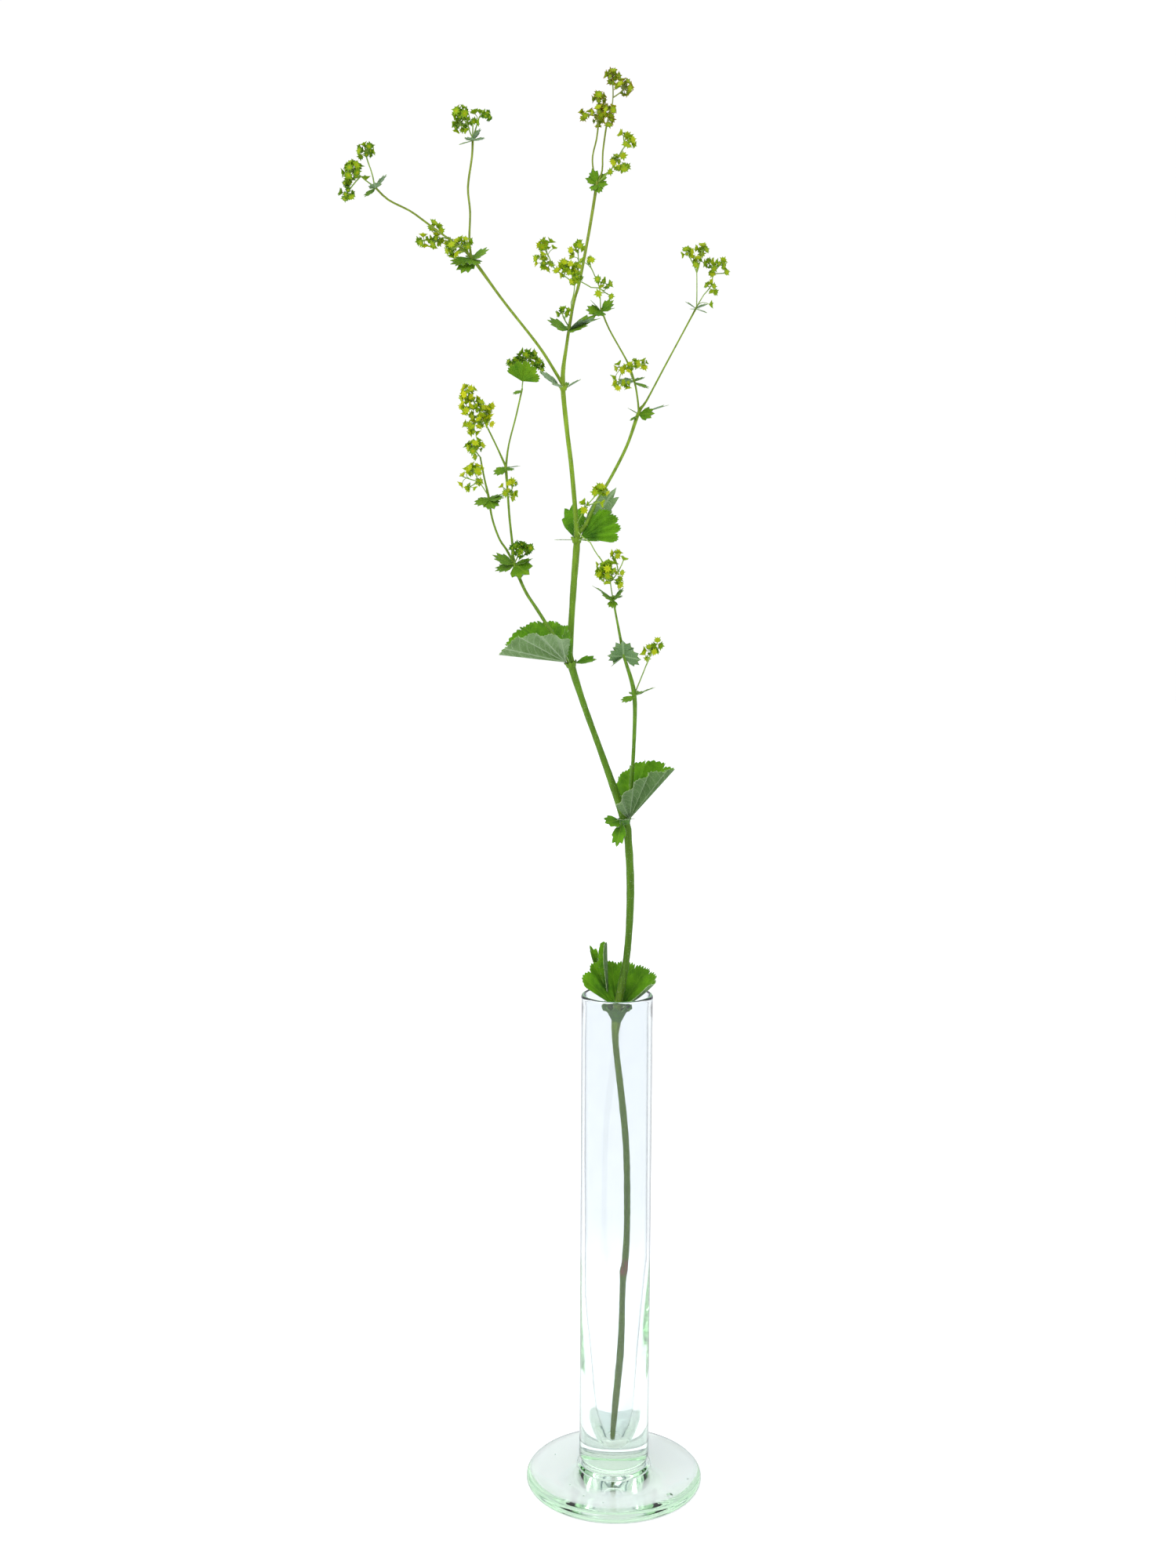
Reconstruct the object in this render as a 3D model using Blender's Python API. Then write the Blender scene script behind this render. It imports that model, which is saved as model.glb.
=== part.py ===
"""A cut alchemilla stem in a tall footed glass vase.

The frame has its origin under the middle of the foot, +X to the right, +Y away
from the viewer and +Z up. Lengths below are in millimetres; mm() turns them into metres.
"""
import math
import random
from dataclasses import dataclass

import bmesh
import bpy
from mathutils import Vector

# Vase
VASE_HEIGHT = 250.0
TUBE_RADIUS = 17.5
WALL = 1.9
FOOT_RADIUS = 44.0
FOOT_EDGE = 5.0
COLLAR_RADIUS = 18.0
COLLAR_LEVEL = 9.0
GROOVE_RADIUS = 16.2
CAVITY_FLOOR = 20.0
TAPER_TOP = 118.0
VASE_SIDES = 28

# Clearance between two pieces that touch
GAP = 0.3

# Stem
STEM_SIDES = 8
BRANCH_SIDES = 5
STATION_STEP = 15.0
STEM_TRIANGLES = 3820

# Thickness of a leaf blade
BLADE = 0.65

# Flowers
STALK_SIDES = 3
STALK_RADIUS = 0.34
PEDICEL_RADIUS = 0.3
FLOWER_RADIUS = 2.4
SEPALS = 4
NOTCH = 0.52
CUP_DEPTH = 1.3
HUB_RADIUS = 0.62
FORK_RADIUS = 0.5
FLOWER_TRIANGLES = 26
HEAD_TRIANGLES = 14
TURN = math.pi * (3.0 - math.sqrt(5.0))


@dataclass(frozen=True)
class Route:
    """A stem's centre line from root to tip, with its radius at each point."""

    points: tuple
    sides: int = BRANCH_SIDES


@dataclass(frozen=True)
class Blade:
    """A leaf blade that fans out from its base.

    toward is where the middle rib ends and upper the way its upper face looks.
    spread is the half angle of the fan and folds turn its two halves up about the rib.
    lift opens the fan into a cone, curl bends the margin and lean makes one half longer.
    """

    base: tuple
    toward: tuple
    upper: tuple = (0, 0, 1)
    spread: float = 26.0
    lobes: int = 1
    teeth: int = 3
    folds: tuple = (0.0, 0.0)
    lift: float = 0.0
    curl: float = 0.0
    lean: float = 0.0
    lobe_depth: float = 0.12
    shoulder: float = 0.7


@dataclass(frozen=True)
class Leaf:
    """A large leaf: its blades and the ring of its sheath about the stem."""

    name: str
    blades: tuple
    node: tuple
    axis: tuple
    inner: float
    outer: float
    height: float


@dataclass(frozen=True)
class Head:
    """A knot of flowers round a centre, on a stalk from its parent head or the root."""

    centre: tuple
    count: int
    parent: int = -1


@dataclass(frozen=True)
class Spray:
    """A flower spray: where its stalk starts, its heads and its own small bracts."""

    name: str
    root: tuple
    heads: tuple
    bracts: tuple = ()


MAIN_STEM = Route((
    (-0.4, 0, 20.4, 1.6), (1.0, 0, 45, 1.7), (3.1, 1, 75, 1.6), (4.2, 2, 102, 1.7),
    (4.4, 2, 107.5, 2.2), (5.2, 2, 114, 1.8), (5.8, 2, 134, 1.6), (5.1, 2, 170, 1.6),
    (2.5, 1, 198, 1.7), (-0.7, 0, 226, 1.6), (-0.3, 0, 237, 2.5), (0.3, 0, 244, 2.0),
    (4.6, 2, 269, 1.7), (6.1, 4, 299, 1.9), (4.8, 5, 325, 1.9), (2.7, 5, 336, 2.1),
    (-8, 3, 366.5, 1.55), (-17.2, 0, 392, 1.5), (-23.4, -2, 412, 1.9), (-23.6, -2.6, 420, 1.5),
    (-22.2, -4, 445, 1.5), (-20.5, -6, 469, 1.6), (-20.9, -6, 478, 1.1), (-23.2, -6, 503, 1.05),
    (-25.5, -5, 521, 1.05), (-27.5, -4, 543, 1.1), (-25.8, -2, 559.5, 0.75),
    (-22.7, 0, 579, 0.72), (-20.2, 1, 588, 0.72), (-15.9, 4, 611, 0.7), (-12.1, 6.6, 635, 0.75),
), STEM_SIDES)

BRANCHES = (
    Route(((3.4, 5, 333, 1.3), (5.8, 0, 349.5, 0.95), (7.2, -10, 378, 0.9),
           (6.9, -16, 398, 1.1), (2.8, -20, 413, 0.75), (1.7, -21, 417, 0.8),
           (-1.3, -27, 432, 0.5), (-3.4, -31, 443, 0.5))),
    Route(((-23.6, -2, 414, 1.2), (-31.3, 2, 424, 0.85), (-39.8, 7, 436.5, 0.8),
           (-46.1, 11, 446, 0.75), (-51.5, 15.6, 459, 0.9), (-52.4, 18, 468, 0.6),
           (-54, 21, 481, 0.55), (-55.4, 25, 497, 0.6), (-56.2, 27, 506, 0.75))),
    Route(((-51.2, 15.4, 458, 0.6), (-54.9, 13, 465, 0.55), (-58.1, 10, 470, 0.5),
           (-61.3, 7, 479.5, 0.5), (-62.9, 4, 490, 0.6), (-64.6, 2, 498, 0.42),
           (-66.4, 0, 508, 0.4))),
    Route(((-56.1, 26.7, 505, 0.6), (-54.9, 30, 516, 0.42), (-51.7, 35, 530, 0.4),
           (-48.9, 40, 544, 0.45))),
    Route(((-56.2, 27, 505.5, 0.6), (-60.3, 25, 514.5, 0.42), (-64.4, 22.2, 523, 0.42))),
    Route(((-20.4, -6, 472, 1.2), (-16.5, -4, 476.5, 0.9), (-11.4, 2, 487.5, 0.8),
           (-4.1, 8, 500.5, 0.75), (2.9, 14, 515, 0.75), (8.4, 19.7, 531, 0.85),
           (12, 22, 536.5, 0.5), (21, 30, 554, 0.42), (30.4, 37, 572, 0.4),
           (36.4, 41, 583.5, 0.5))),
    Route(((8.4, 19.6, 530.5, 0.6), (7.9, 18.6, 535.5, 0.45), (6.8, 16, 542, 0.45),
           (5.6, 14, 546, 0.55), (2.6, 11, 553.5, 0.42), (-6.1, 6, 568, 0.4),
           (-10, 2, 577, 0.45))),
    Route(((-27.4, -4, 541, 0.9), (-31.4, -6, 547.5, 0.72), (-38.9, -10, 558.5, 0.65),
           (-54.3, -18, 577, 0.6), (-68.3, -25.8, 595, 0.75), (-74.7, -28, 600, 0.5),
           (-87.5, -33, 608.5, 0.45), (-94.5, -36, 613, 0.45), (-103.7, -40, 617, 0.45),
           (-109.3, -43, 622, 0.5))),
    Route(((-68.2, -25.6, 594.5, 0.6), (-69.1, -25, 603, 0.5), (-69, -22, 615.5, 0.48),
           (-70.2, -19, 627, 0.48), (-68.6, -16, 641, 0.5), (-68.4, -14, 649.5, 0.55))),
    Route(((-12.2, 6.6, 633.5, 0.6), (-14, 8, 641, 0.4), (-14.3, 8, 647, 0.38),
           (-12.5, 6, 654, 0.38), (-11.8, 5, 659.5, 0.42))),
    Route(((-12, 6.6, 633.5, 0.6), (-9.8, 6, 640, 0.4), (-9.5, 4, 648, 0.4),
           (-7.8, 1.2, 659.5, 0.42))),
)

LEAVES = (
    Leaf("leaf_1", (
        Blade((0.3, 0.8, 242.5), (0.3, 21.5, 242.5), (0.1, -0.22, 1), 128, 7, 3,
              (0, 0), 33, 0.42, 0.1, 0.12, 0.94),
        Blade((-9.5, 9, 257), (-14.5, 10.5, 276), (0.7, -0.5, 0.2), 15, 1, 3),
        Blade((-4.5, 2, 247), (-5.8, 3.5, 277), (-0.75, -0.6, 0), 10, 1, 3),
    ), (-0.1, 0, 241), (0, 0, 1), 2.5, 4.2, 4.5),
    Leaf("leaf_2", (
        Blade((5.3, 3.5, 335.8), (26, -1, 364.5), (-0.84, 0, 0.54), 80, 9, 2,
              (34, 52), 0, 0, 0, 0.1, 0.62),
        Blade((0.4, 3.6, 335.2), (-6.5, -1, 334.5), (0, -0.3, 1), 42, 2, 3),
        Blade((1.7, 2.6, 334.5), (-1, -2, 323), (-0.6, -0.8, 0), 30, 1, 3),
        Blade((3.2, 2.4, 335.6), (4, -5, 337), (0, 0, 1), 40, 1, 3),
    ), (3.0, 5, 334.6), (-0.1, 0, 1), 2.45, 3.4, 3.0),
    Leaf("leaf_3", (
        Blade((-25.6, -2.2, 411.8), (-57, -4, 418), (0.15, 0, 1), 88, 9, 2,
              (52, 34), 0, 0, 0, 0.1, 0.7),
        Blade((-23.6, -4.5, 411.6), (-25.5, -12, 428), (0.6, -0.6, 0.3), 24, 1, 3),
        Blade((-21, -2.9, 411.4), (-11, -5, 413.5), (0, -0.5, 0.85), 40, 2, 3, (14, 14)),
    ), (-23.2, -2, 410.8), (-0.25, -0.1, 0.95), 2.15, 3.1, 3.0),
    Leaf("leaf_4", (
        Blade((-18.6, -7, 470.3), (1, -6, 483), (0.2, -0.85, 0.5), 44, 5, 2,
              (8, -12), 0, 0, 0, 0.1, 0.85),
        Blade((-18.8, -4.4, 470.2), (-2, 3, 494), (0.5, 0.75, 0.4), 20, 1, 3),
        Blade((-21.2, -3.9, 469.8), (-22.5, 2.5, 487), (0, -0.8, 0.5), 38, 2, 3),
        Blade((-22.9, -6.6, 469.4), (-31, -9.5, 469.5), (0, 0, 1), 24, 1, 3),
        Blade((-19.5, -8.1, 469.4), (-10, -11.5, 469), (0, -0.2, 1), 24, 1, 3),
    ), (-20.6, -6, 469.4), (0, 0, 1), 1.95, 2.8, 3.0),
    Leaf("leaf_5", (
        Blade((-28.9, -4.7, 540), (-37.5, -12, 547), (0.1, 0, 1), 30, 1, 3),
        Blade((-27.7, -5.7, 539.8), (-32, -12, 541), (0, 0, 1), 26, 1, 3),
        Blade((-25.5, -4.3, 539.8), (-19, -7, 543.5), (0, -0.2, 1), 32, 1, 3, (10, 0)),
        Blade((-27.2, -2.3, 539.8), (-26, 4.5, 543.5), (0, 0, 1), 30, 1, 3),
    ), (-27.2, -4, 539.6), (-0.1, 0, 1), 1.4, 2.2, 2.4),
)

STEM_BRACTS = (
    # At the axil below the crown
    Blade((-25.1, -1.4, 566.4), (-33.5, -5, 570.5), (0.1, 0, 1), 36, 1, 3),
    Blade((-25.1, -1.4, 566.4), (-12, -5, 571.5), (0, 0.2, 1), 31, 1, 3, (20, 20)),
    Blade((-25.1, -1.4, 566.2), (-17, -10, 567.5), (0, 0, 1), 28, 1, 2),
    Blade((-25.1, -1.4, 566.4), (-28, 6, 570), (0, 0, 1), 38, 1, 2),
    # Star under the crown
    Blade((-12.2, 6.4, 633.4), (-18, 4, 637.5), (0.3, 0, 1), 33, 1, 3),
    Blade((-12.2, 6.4, 633.4), (-6.5, 5.5, 638), (-0.3, 0, 1), 33, 1, 3),
    Blade((-12.2, 6.4, 633.2), (-11, 0.5, 629.5), (0, -1, 0.6), 36, 1, 3),
    Blade((-12.2, 6.4, 633.2), (-15.5, 2, 630.5), (-0.3, -1, 0.6), 31, 1, 2),
    Blade((-12.2, 6.4, 633.2), (-7, 3, 632.5), (0, -0.6, 1), 31, 1, 2),
    Blade((-12.2, 6.4, 633.4), (-12, 13, 637), (0, -0.3, 1), 36, 1, 2),
    # Fork of the long left branch
    Blade((-68.1, -25.7, 594.4), (-76.5, -29, 592), (0, -0.7, 1), 31, 1, 3),
    Blade((-68.1, -25.7, 594.4), (-72, -31, 588), (-0.2, -1, 0.6), 31, 1, 2),
    Blade((-68.1, -25.7, 594.2), (-66, -32, 591), (0.2, -1, 0.6), 33, 1, 2),
    Blade((-68.1, -25.7, 594.4), (-61, -28, 598), (-0.2, -0.7, 1), 36, 1, 3),
    Blade((-68.1, -25.7, 594.4), (-66.5, -18.5, 598), (0, 0, 1), 33, 1, 2),
    # Far left tip
    Blade((-108.9, -42.8, 621.4), (-104.5, -44.5, 626.5), (-0.6, 0, 0.8), 26, 1, 2),
    Blade((-108.9, -42.8, 621.2), (-113.2, -44.5, 617.8), (-0.6, -0.6, 0.6), 33, 1, 2),
    Blade((-108.9, -42.8, 621.2), (-108.5, -48.5, 622.5), (-0.3, 0, 1), 31, 1, 2),
    Blade((-108.9, -42.8, 621.2), (-109.5, -37.5, 624), (-0.3, 0, 1), 31, 1, 2),
    # Left top tip
    Blade((-68.4, -14.1, 648.6), (-65.4, -16.5, 653), (-0.6, 0, 0.8), 38, 1, 2),
    Blade((-68.4, -14.1, 648.6), (-63.6, -12.5, 650), (-0.2, 0, 1), 28, 1, 2),
    Blade((-68.4, -14.1, 648.4), (-74, -15.5, 646.8), (-0.2, -0.3, 1), 26, 1, 2),
    Blade((-68.4, -14.1, 648.4), (-70, -19, 649), (0, -0.2, 1), 33, 1, 2),
    Blade((-68.4, -14.1, 648.4), (-69, -8.5, 650.5), (0, 0, 1), 33, 1, 2),
    # Fork of the right branch
    Blade((8.2, 19.4, 529.8), (15, 16, 530.2), (0, -0.8, 0.5), 34, 1, 3),
    Blade((8.2, 19.4, 529.8), (21, 23, 535), (-0.2, 0, 1), 11, 1, 2),
    Blade((8.2, 19.4, 529.6), (4.6, 17, 527), (-0.6, -0.4, 0.4), 28, 1, 2),
    Blade((8.2, 19.4, 529.8), (3.8, 21.5, 533), (0.2, 0, 1), 28, 1, 2),
    # Right top tip
    Blade((36, 40.8, 582.8), (31.5, 41, 586), (0.3, 0, 1), 23, 1, 2),
    Blade((36, 40.8, 582.8), (41, 38.5, 584.8), (-0.1, 0, 1), 26, 1, 2),
    Blade((36, 40.8, 582.6), (41, 43, 581.5), (0, -0.2, 1), 26, 1, 2),
    Blade((36, 40.8, 582.6), (35, 36, 582), (0, 0, 1), 31, 1, 2),
    # Low fork of the right branch
    Blade((5.7, 14.2, 544.6), (-2.5, 13, 544.8), (0.2, 0.3, 1), 38, 1, 3),
    Blade((5.7, 14.2, 544.4), (12.2, 11, 541.8), (0, -0.2, 1), 26, 1, 2),
    Blade((5.7, 14.2, 544.6), (9.5, 18.5, 547.5), (0, 0, 1), 33, 1, 2),
    # Curled tip before the main stem
    Blade((-9.8, 2.2, 575.4), (-16.2, 0, 576), (0, -0.6, 1), 36, 1, 3),
    Blade((-9.8, 2.2, 575.4), (-4.8, 0.5, 580), (-0.3, -0.6, 1), 33, 1, 2),
    Blade((-9.8, 2.2, 575.4), (-11, -3, 573), (0, -0.8, 0.6), 33, 1, 2),
    Blade((-9.8, 2.2, 575.4), (-14, 3.5, 580.5), (0.3, 0, 1), 31, 1, 2),
    Blade((-9.8, 2.2, 575.4), (-4.5, 5, 577.5), (0, 0, 1), 31, 1, 2),
    # Fork of the middle left branch
    Blade((-51.3, 15.2, 457.8), (-60.5, 14, 462.5), (0.2, -0.5, 1), 33, 1, 2),
    Blade((-51.3, 15.2, 457.6), (-59.5, 12, 455.5), (0, -0.5, 1), 28, 1, 3),
    Blade((-51.3, 15.2, 457.8), (-44.5, 9, 454), (0, -0.9, 0.5), 42, 1, 3, (0, 10)),
    Blade((-51.3, 15.2, 457.8), (-43.5, 16, 461), (0, -0.2, 1), 36, 1, 2),
    Blade((-51.3, 15.2, 457.8), (-52.5, 23, 459), (0, 0, 1), 36, 1, 2),
    # Fork of the upright shoot
    Blade((-56, 26.6, 504.6), (-61.5, 25, 502), (0, -0.7, 1), 36, 1, 3),
    Blade((-56, 26.6, 504.6), (-50, 28, 506), (0, 0, 1), 15, 1, 2),
    Blade((-56, 26.6, 504.6), (-55, 32.5, 506), (0, 0, 1), 31, 1, 2),
    Blade((-56, 26.6, 504.6), (-53, 22, 503.5), (0, -0.4, 1), 26, 1, 2),
    # Tip of the loose shoot
    Blade((-62.8, 4.2, 488.6), (-69, 2.5, 486.5), (0, -0.6, 1), 36, 1, 3),
    Blade((-62.8, 4.2, 488.6), (-56, 2, 489.5), (0, -0.5, 1), 33, 1, 3),
    Blade((-62.8, 4.2, 488.4), (-60, -1.5, 484.5), (0, -0.9, 0.6), 36, 1, 3),
    Blade((-62.8, 4.2, 488.6), (-57.5, 8, 491.5), (0, 0, 1), 31, 1, 2),
    Blade((-62.8, 4.2, 488.6), (-65, 9.5, 490), (0, 0, 1), 33, 1, 2),
    # Fan behind the middle head
    Blade((-49, 39.4, 543), (-45.5, 35.5, 555), (0.1, -0.9, 0.4), 82, 5, 2,
          (12, 12), 0, 0, 0, 0.12, 0.9),
    Blade((-49, 39.4, 543), (-53, 38, 541.5), (0, -0.4, 1), 33, 1, 2),
    # Low branch, first fork
    Blade((6.9, -15.6, 396.8), (1.5, -18.5, 394.5), (0, -0.3, 1), 31, 1, 2),
    Blade((6.9, -15.6, 396.8), (15.5, -16.5, 401), (-0.2, 0, 1), 26, 1, 3),
    Blade((6.9, -15.6, 396.8), (8.5, -9, 399), (0, 0, 1), 31, 1, 2),
    # Low branch, middle
    Blade((1.9, -20.8, 415.6), (-5, -22.5, 416), (-0.2, 0.8, 0.4), 33, 1, 3),
    Blade((1.9, -20.8, 415.6), (1.5, -25.5, 422.5), (0.1, 0.9, 0.5), 38, 1, 3),
    Blade((1.9, -20.8, 415.6), (9.3, -24, 414.5), (0, 0.8, 0.4), 35, 1, 3),
    Blade((1.9, -20.8, 415.4), (-3.6, -20, 411.5), (0.2, 0, 1), 23, 1, 2),
    Blade((1.9, -20.8, 415.6), (4, -14.5, 418), (0, 0, 1), 33, 1, 2),
    # Low branch, tip
    Blade((-3.3, -30.7, 442), (-11.5, -29, 448), (0.3, 0, 1), 14, 1, 2),
    Blade((-3.3, -30.7, 442), (0.8, -35, 446), (-0.3, -0.6, 0.9), 34, 1, 3),
    Blade((-3.3, -30.7, 442), (-7.5, -35.5, 444), (0.3, -0.6, 0.9), 33, 1, 2),
    Blade((-3.3, -30.7, 441.8), (-3.5, -35, 438.5), (0, -1, 0.4), 28, 1, 2),
    Blade((-3.3, -30.7, 442), (-1, -25, 444), (0, 0, 1), 31, 1, 2),
)

SPRAYS = (
    Spray("spray_far_left", (-109.3, -43, 622), (
        Head((-111.5, -43.6, 631), 0), Head((-113, -44, 639), 5, 0),
        Head((-115, -44.5, 626), 1), Head((-118.5, -48, 630.5), 5, 2),
        Head((-121.5, -41, 625), 3, 2), Head((-121, -47, 617.5), 3, 2),
    )),
    Spray("spray_left_top", (-68.4, -14, 649.5), (
        Head((-71, -14, 656), 0), Head((-74.5, -17, 662), 5, 0),
        Head((-76, -10.5, 656), 4, 0), Head((-68, -18, 657), 2),
        Head((-65.5, -13, 659), 1), Head((-61.5, -17, 660), 3, 4),
        Head((-68, -11, 663.5), 1, 0),
    )),
    Spray("spray_left_fork", (-68.7, -25.4, 599), (
        Head((-73, -22.5, 600.5), 0), Head((-77, -23.5, 598), 3, 0),
        Head((-81, -23, 604), 0, 0), Head((-84, -26, 600.5), 3, 2),
        Head((-91, -28, 602.5), 3, 2), Head((-84.5, -25, 608.5), 2, 2),
    )),
    Spray("spray_fork_side", (-69.5, -26, 596.4), (
        Head((-71.5, -31.5, 601), 2), Head((-78, -32.5, 596.5), 3, 0),
    )),
    Spray("spray_crown_left", (-11.8, 5, 659.5), (
        Head((-12, 6, 664), 3), Head((-15.5, 5.5, 666), 0, 0),
        Head((-19.5, 6.5, 665), 3, 1), Head((-11.5, 3.5, 673), 5, 0),
    )),
    Spray("spray_crown_right", (-7.8, 1.2, 659.5), (
        Head((-6.5, -1, 663.5), 3), Head((-5, 0, 671), 0, 0),
        Head((-5.5, 2, 682), 5, 1), Head((1.5, -3, 677), 5, 1),
        Head((-2, 2, 667), 1, 0),
    ), (
        Blade((-5, 0, 671), (1, -1, 668.5), (0, -0.5, 1), 16, 1, 2),
    )),
    Spray("spray_crown_side", (-12, 6.7, 634.6), (
        Head((-5, 0.5, 640), 0), Head((-1.5, -4, 639.5), 3, 0),
        Head((-3.5, 1, 646), 2, 0), Head((0.5, -5, 647.5), 0, 0),
        Head((0, -6, 653.5), 2, 3), Head((5, -8.5, 651), 3, 3),
    )),
    Spray("spray_axis", (-24.2, -0.9, 569), (
        Head((-24, 5.5, 580), 0), Head((-22.5, 8, 589), 0, 0),
        Head((-24, 6.5, 595), 3, 1), Head((-20.5, 10.5, 598.5), 3, 1),
        Head((-26.5, 9.5, 602), 2, 1), Head((-20.5, 9.5, 607.5), 3, 3),
        Head((-30, 6.5, 594), 0, 0), Head((-33, 4.5, 596.5), 3, 6),
        Head((-39.5, 7, 600), 4, 6), Head((-33.5, 11.5, 600), 0, 6),
        Head((-36.5, 10, 608), 5, 9),
    )),
    Spray("spray_axis_bud", (-24.8, -1.1, 568), (
        Head((-28.5, -6.5, 574), 3), Head((-24, -7, 575.5), 2, 0),
    )),
    Spray("spray_curl", (-10.1, 2, 577), (
        Head((-10.5, -5, 585), 0), Head((-8, -6, 588.5), 2, 0),
        Head((-13.5, -12, 596), 2, 0), Head((-14.5, -9.5, 584.5), 0, 0),
        Head((-21.5, -12.5, 587.5), 3, 3), Head((-17, -14.5, 589.5), 2, 3),
        Head((-4.5, -7, 581.5), 2, 0),
    )),
    Spray("spray_right_top", (36.4, 41, 583.5), (
        Head((36.3, 42, 600), 0), Head((31.5, 40, 609.5), 4, 0),
        Head((39.5, 44.5, 613), 5, 0), Head((36.5, 39, 605), 2, 0),
        Head((40, 40, 589.5), 0), Head((43.5, 40.5, 594), 3, 4),
        Head((44, 45, 600), 0, 5), Head((43.5, 46, 605.5), 2, 6),
        Head((49, 41, 605), 3, 6), Head((51.5, 44, 600), 2, 6),
    )),
    Spray("spray_right_low", (5.8, 14.4, 545), (
        Head((3.5, 7.5, 551), 2), Head((-3, 9, 551), 3, 0),
        Head((8.5, 9, 553), 3, 0), Head((12.5, 14, 555), 3, 2),
    )),
    Spray("spray_fan", (-48.9, 40, 544), (
        Head((-48, 45, 551), 0), Head((-50.5, 44, 558.5), 4, 0), Head((-55, 43, 556), 3, 0),
        Head((-45, 46, 561), 4, 0), Head((-40.5, 43, 556), 3, 0),
    )),
    Spray("spray_gold", (-64.4, 22.2, 523), (
        Head((-67, 20.5, 528.5), 3), Head((-64, 22, 532.5), 3, 0),
        Head((-72.5, 18, 524), 3, 0), Head((-73, 23.5, 529), 3, 0),
        Head((-70, 19, 534.5), 3, 0), Head((-76.5, 16.5, 533), 3, 4),
        Head((-74, 20.5, 542), 6, 4), Head((-66.5, 23, 538.5), 2, 4),
    )),
    Spray("spray_tight", (-66.4, 0, 508), (
        Head((-69.5, -1, 514), 5), Head((-74, 3, 514), 1, 0),
    )),
    Spray("spray_loose", (-62.9, 4, 490), (
        Head((-67, -2.6, 496.5), 3), Head((-69.5, -2.2, 503), 5, 0), Head((-76, 0, 500), 2, 0),
        Head((-73.5, -5, 493.5), 3, 0),
    )),
    Spray("spray_shoot", (-54.8, 23.4, 490.5), (
        Head((-53.5, 18.5, 491), 3), Head((-58, 17.5, 496.5), 2, 0),
        Head((-51.5, 18.5, 498), 3, 0),
    )),
    Spray("spray_fork", (-51.3, 15.3, 458.4), (
        Head((-48, 8, 465.5), 4), Head((-43.5, 12, 466), 3, 0),
    )),
    Spray("spray_high", (-20.8, -6, 476.5), (
        Head((-16, -14, 486), 2), Head((-9.5, -12.5, 486.5), 2, 0), Head((-9, -8.5, 494), 4, 0),
    )),
    Spray("spray_hanging", (-20.6, -6, 474), (
        Head((-14, -16.5, 468), 0), Head((-7.5, -16.5, 457.5), 4, 0),
    )),
    Spray("spray_low_top", (-3.4, -31, 443), (
        Head((-4.5, -33, 450), 0), Head((-9, -34.5, 453.5), 4, 0),
        Head((-5.5, -39, 457), 3, 0), Head((-0.5, -33, 456), 3, 0),
        Head((-3, -34, 464), 3, 3), Head((3, -36, 461.5), 2, 3),
    )),
    Spray("spray_low_side", (7, -16, 397.5), (
        Head((12.5, -12, 411), 0), Head((15, -10.5, 419), 5, 0),
        Head((19, -12, 422.5), 1, 0),
    ), (
        Blade((12.6, -12, 411.4), (17, -13, 410.5), (0, 0, 1), 12, 1, 2),
    )),
)


def mm(value):
    """Millimetres as metres."""
    return value * 0.001


def vector(place):
    """A place in millimetres as a vector in metres."""
    return Vector(place[:3]) * 0.001


def clear_scene():
    """Removes what the scene holds."""
    for item in list(bpy.data.objects):
        bpy.data.objects.remove(item, do_unlink=True)


def make_material(name, colour, roughness, transmission=0.0):
    """A material with one Principled BSDF."""
    material = bpy.data.materials.new(name)
    material.use_nodes = True
    shader = material.node_tree.nodes["Principled BSDF"]
    shader.inputs["Base Color"].default_value = (*colour, 1.0)
    shader.inputs["Roughness"].default_value = roughness
    shader.inputs["Metallic"].default_value = 0.0
    shader.inputs["Transmission Weight"].default_value = transmission
    return material


def mesh_object(name, points, faces):
    """An object from points and faces, with its normals made to look out."""
    mesh = bpy.data.meshes.new(name)
    mesh.from_pydata([tuple(point) for point in points], [], faces)
    shell = bmesh.new()
    shell.from_mesh(mesh)
    bmesh.ops.recalc_face_normals(shell, faces=shell.faces)
    if shell.calc_volume(signed=True) < 0:
        bmesh.ops.reverse_faces(shell, faces=shell.faces)
    shell.to_mesh(mesh)
    shell.free()
    piece = bpy.data.objects.new(name, mesh)
    bpy.context.scene.collection.objects.link(piece)
    return piece


def bridge(faces, low, high, sides):
    """Adds the faces between two rings that start at low and high."""
    for corner in range(sides):
        after = (corner + 1) % sides
        faces.append((low + corner, low + after, high + after, high + corner))


def smooth_points(points, step):
    """Stations along a smooth curve through the given ones, at most step apart."""
    rows = [Vector(point) for point in points]
    result = []
    for index in range(len(rows) - 1):
        before = rows[max(index - 1, 0)]
        start = rows[index]
        end = rows[index + 1]
        after = rows[min(index + 2, len(rows) - 1)]
        count = max(1, math.ceil((end.to_3d() - start.to_3d()).length / step))
        for part in range(count):
            t = part / count
            result.append(0.5 * (
                2 * start + (end - before) * t
                + (2 * before - 5 * start + 4 * end - after) * t ** 2
                + (3 * start - before - 3 * end + after) * t ** 3))
    result.append(rows[-1])
    return result


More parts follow.
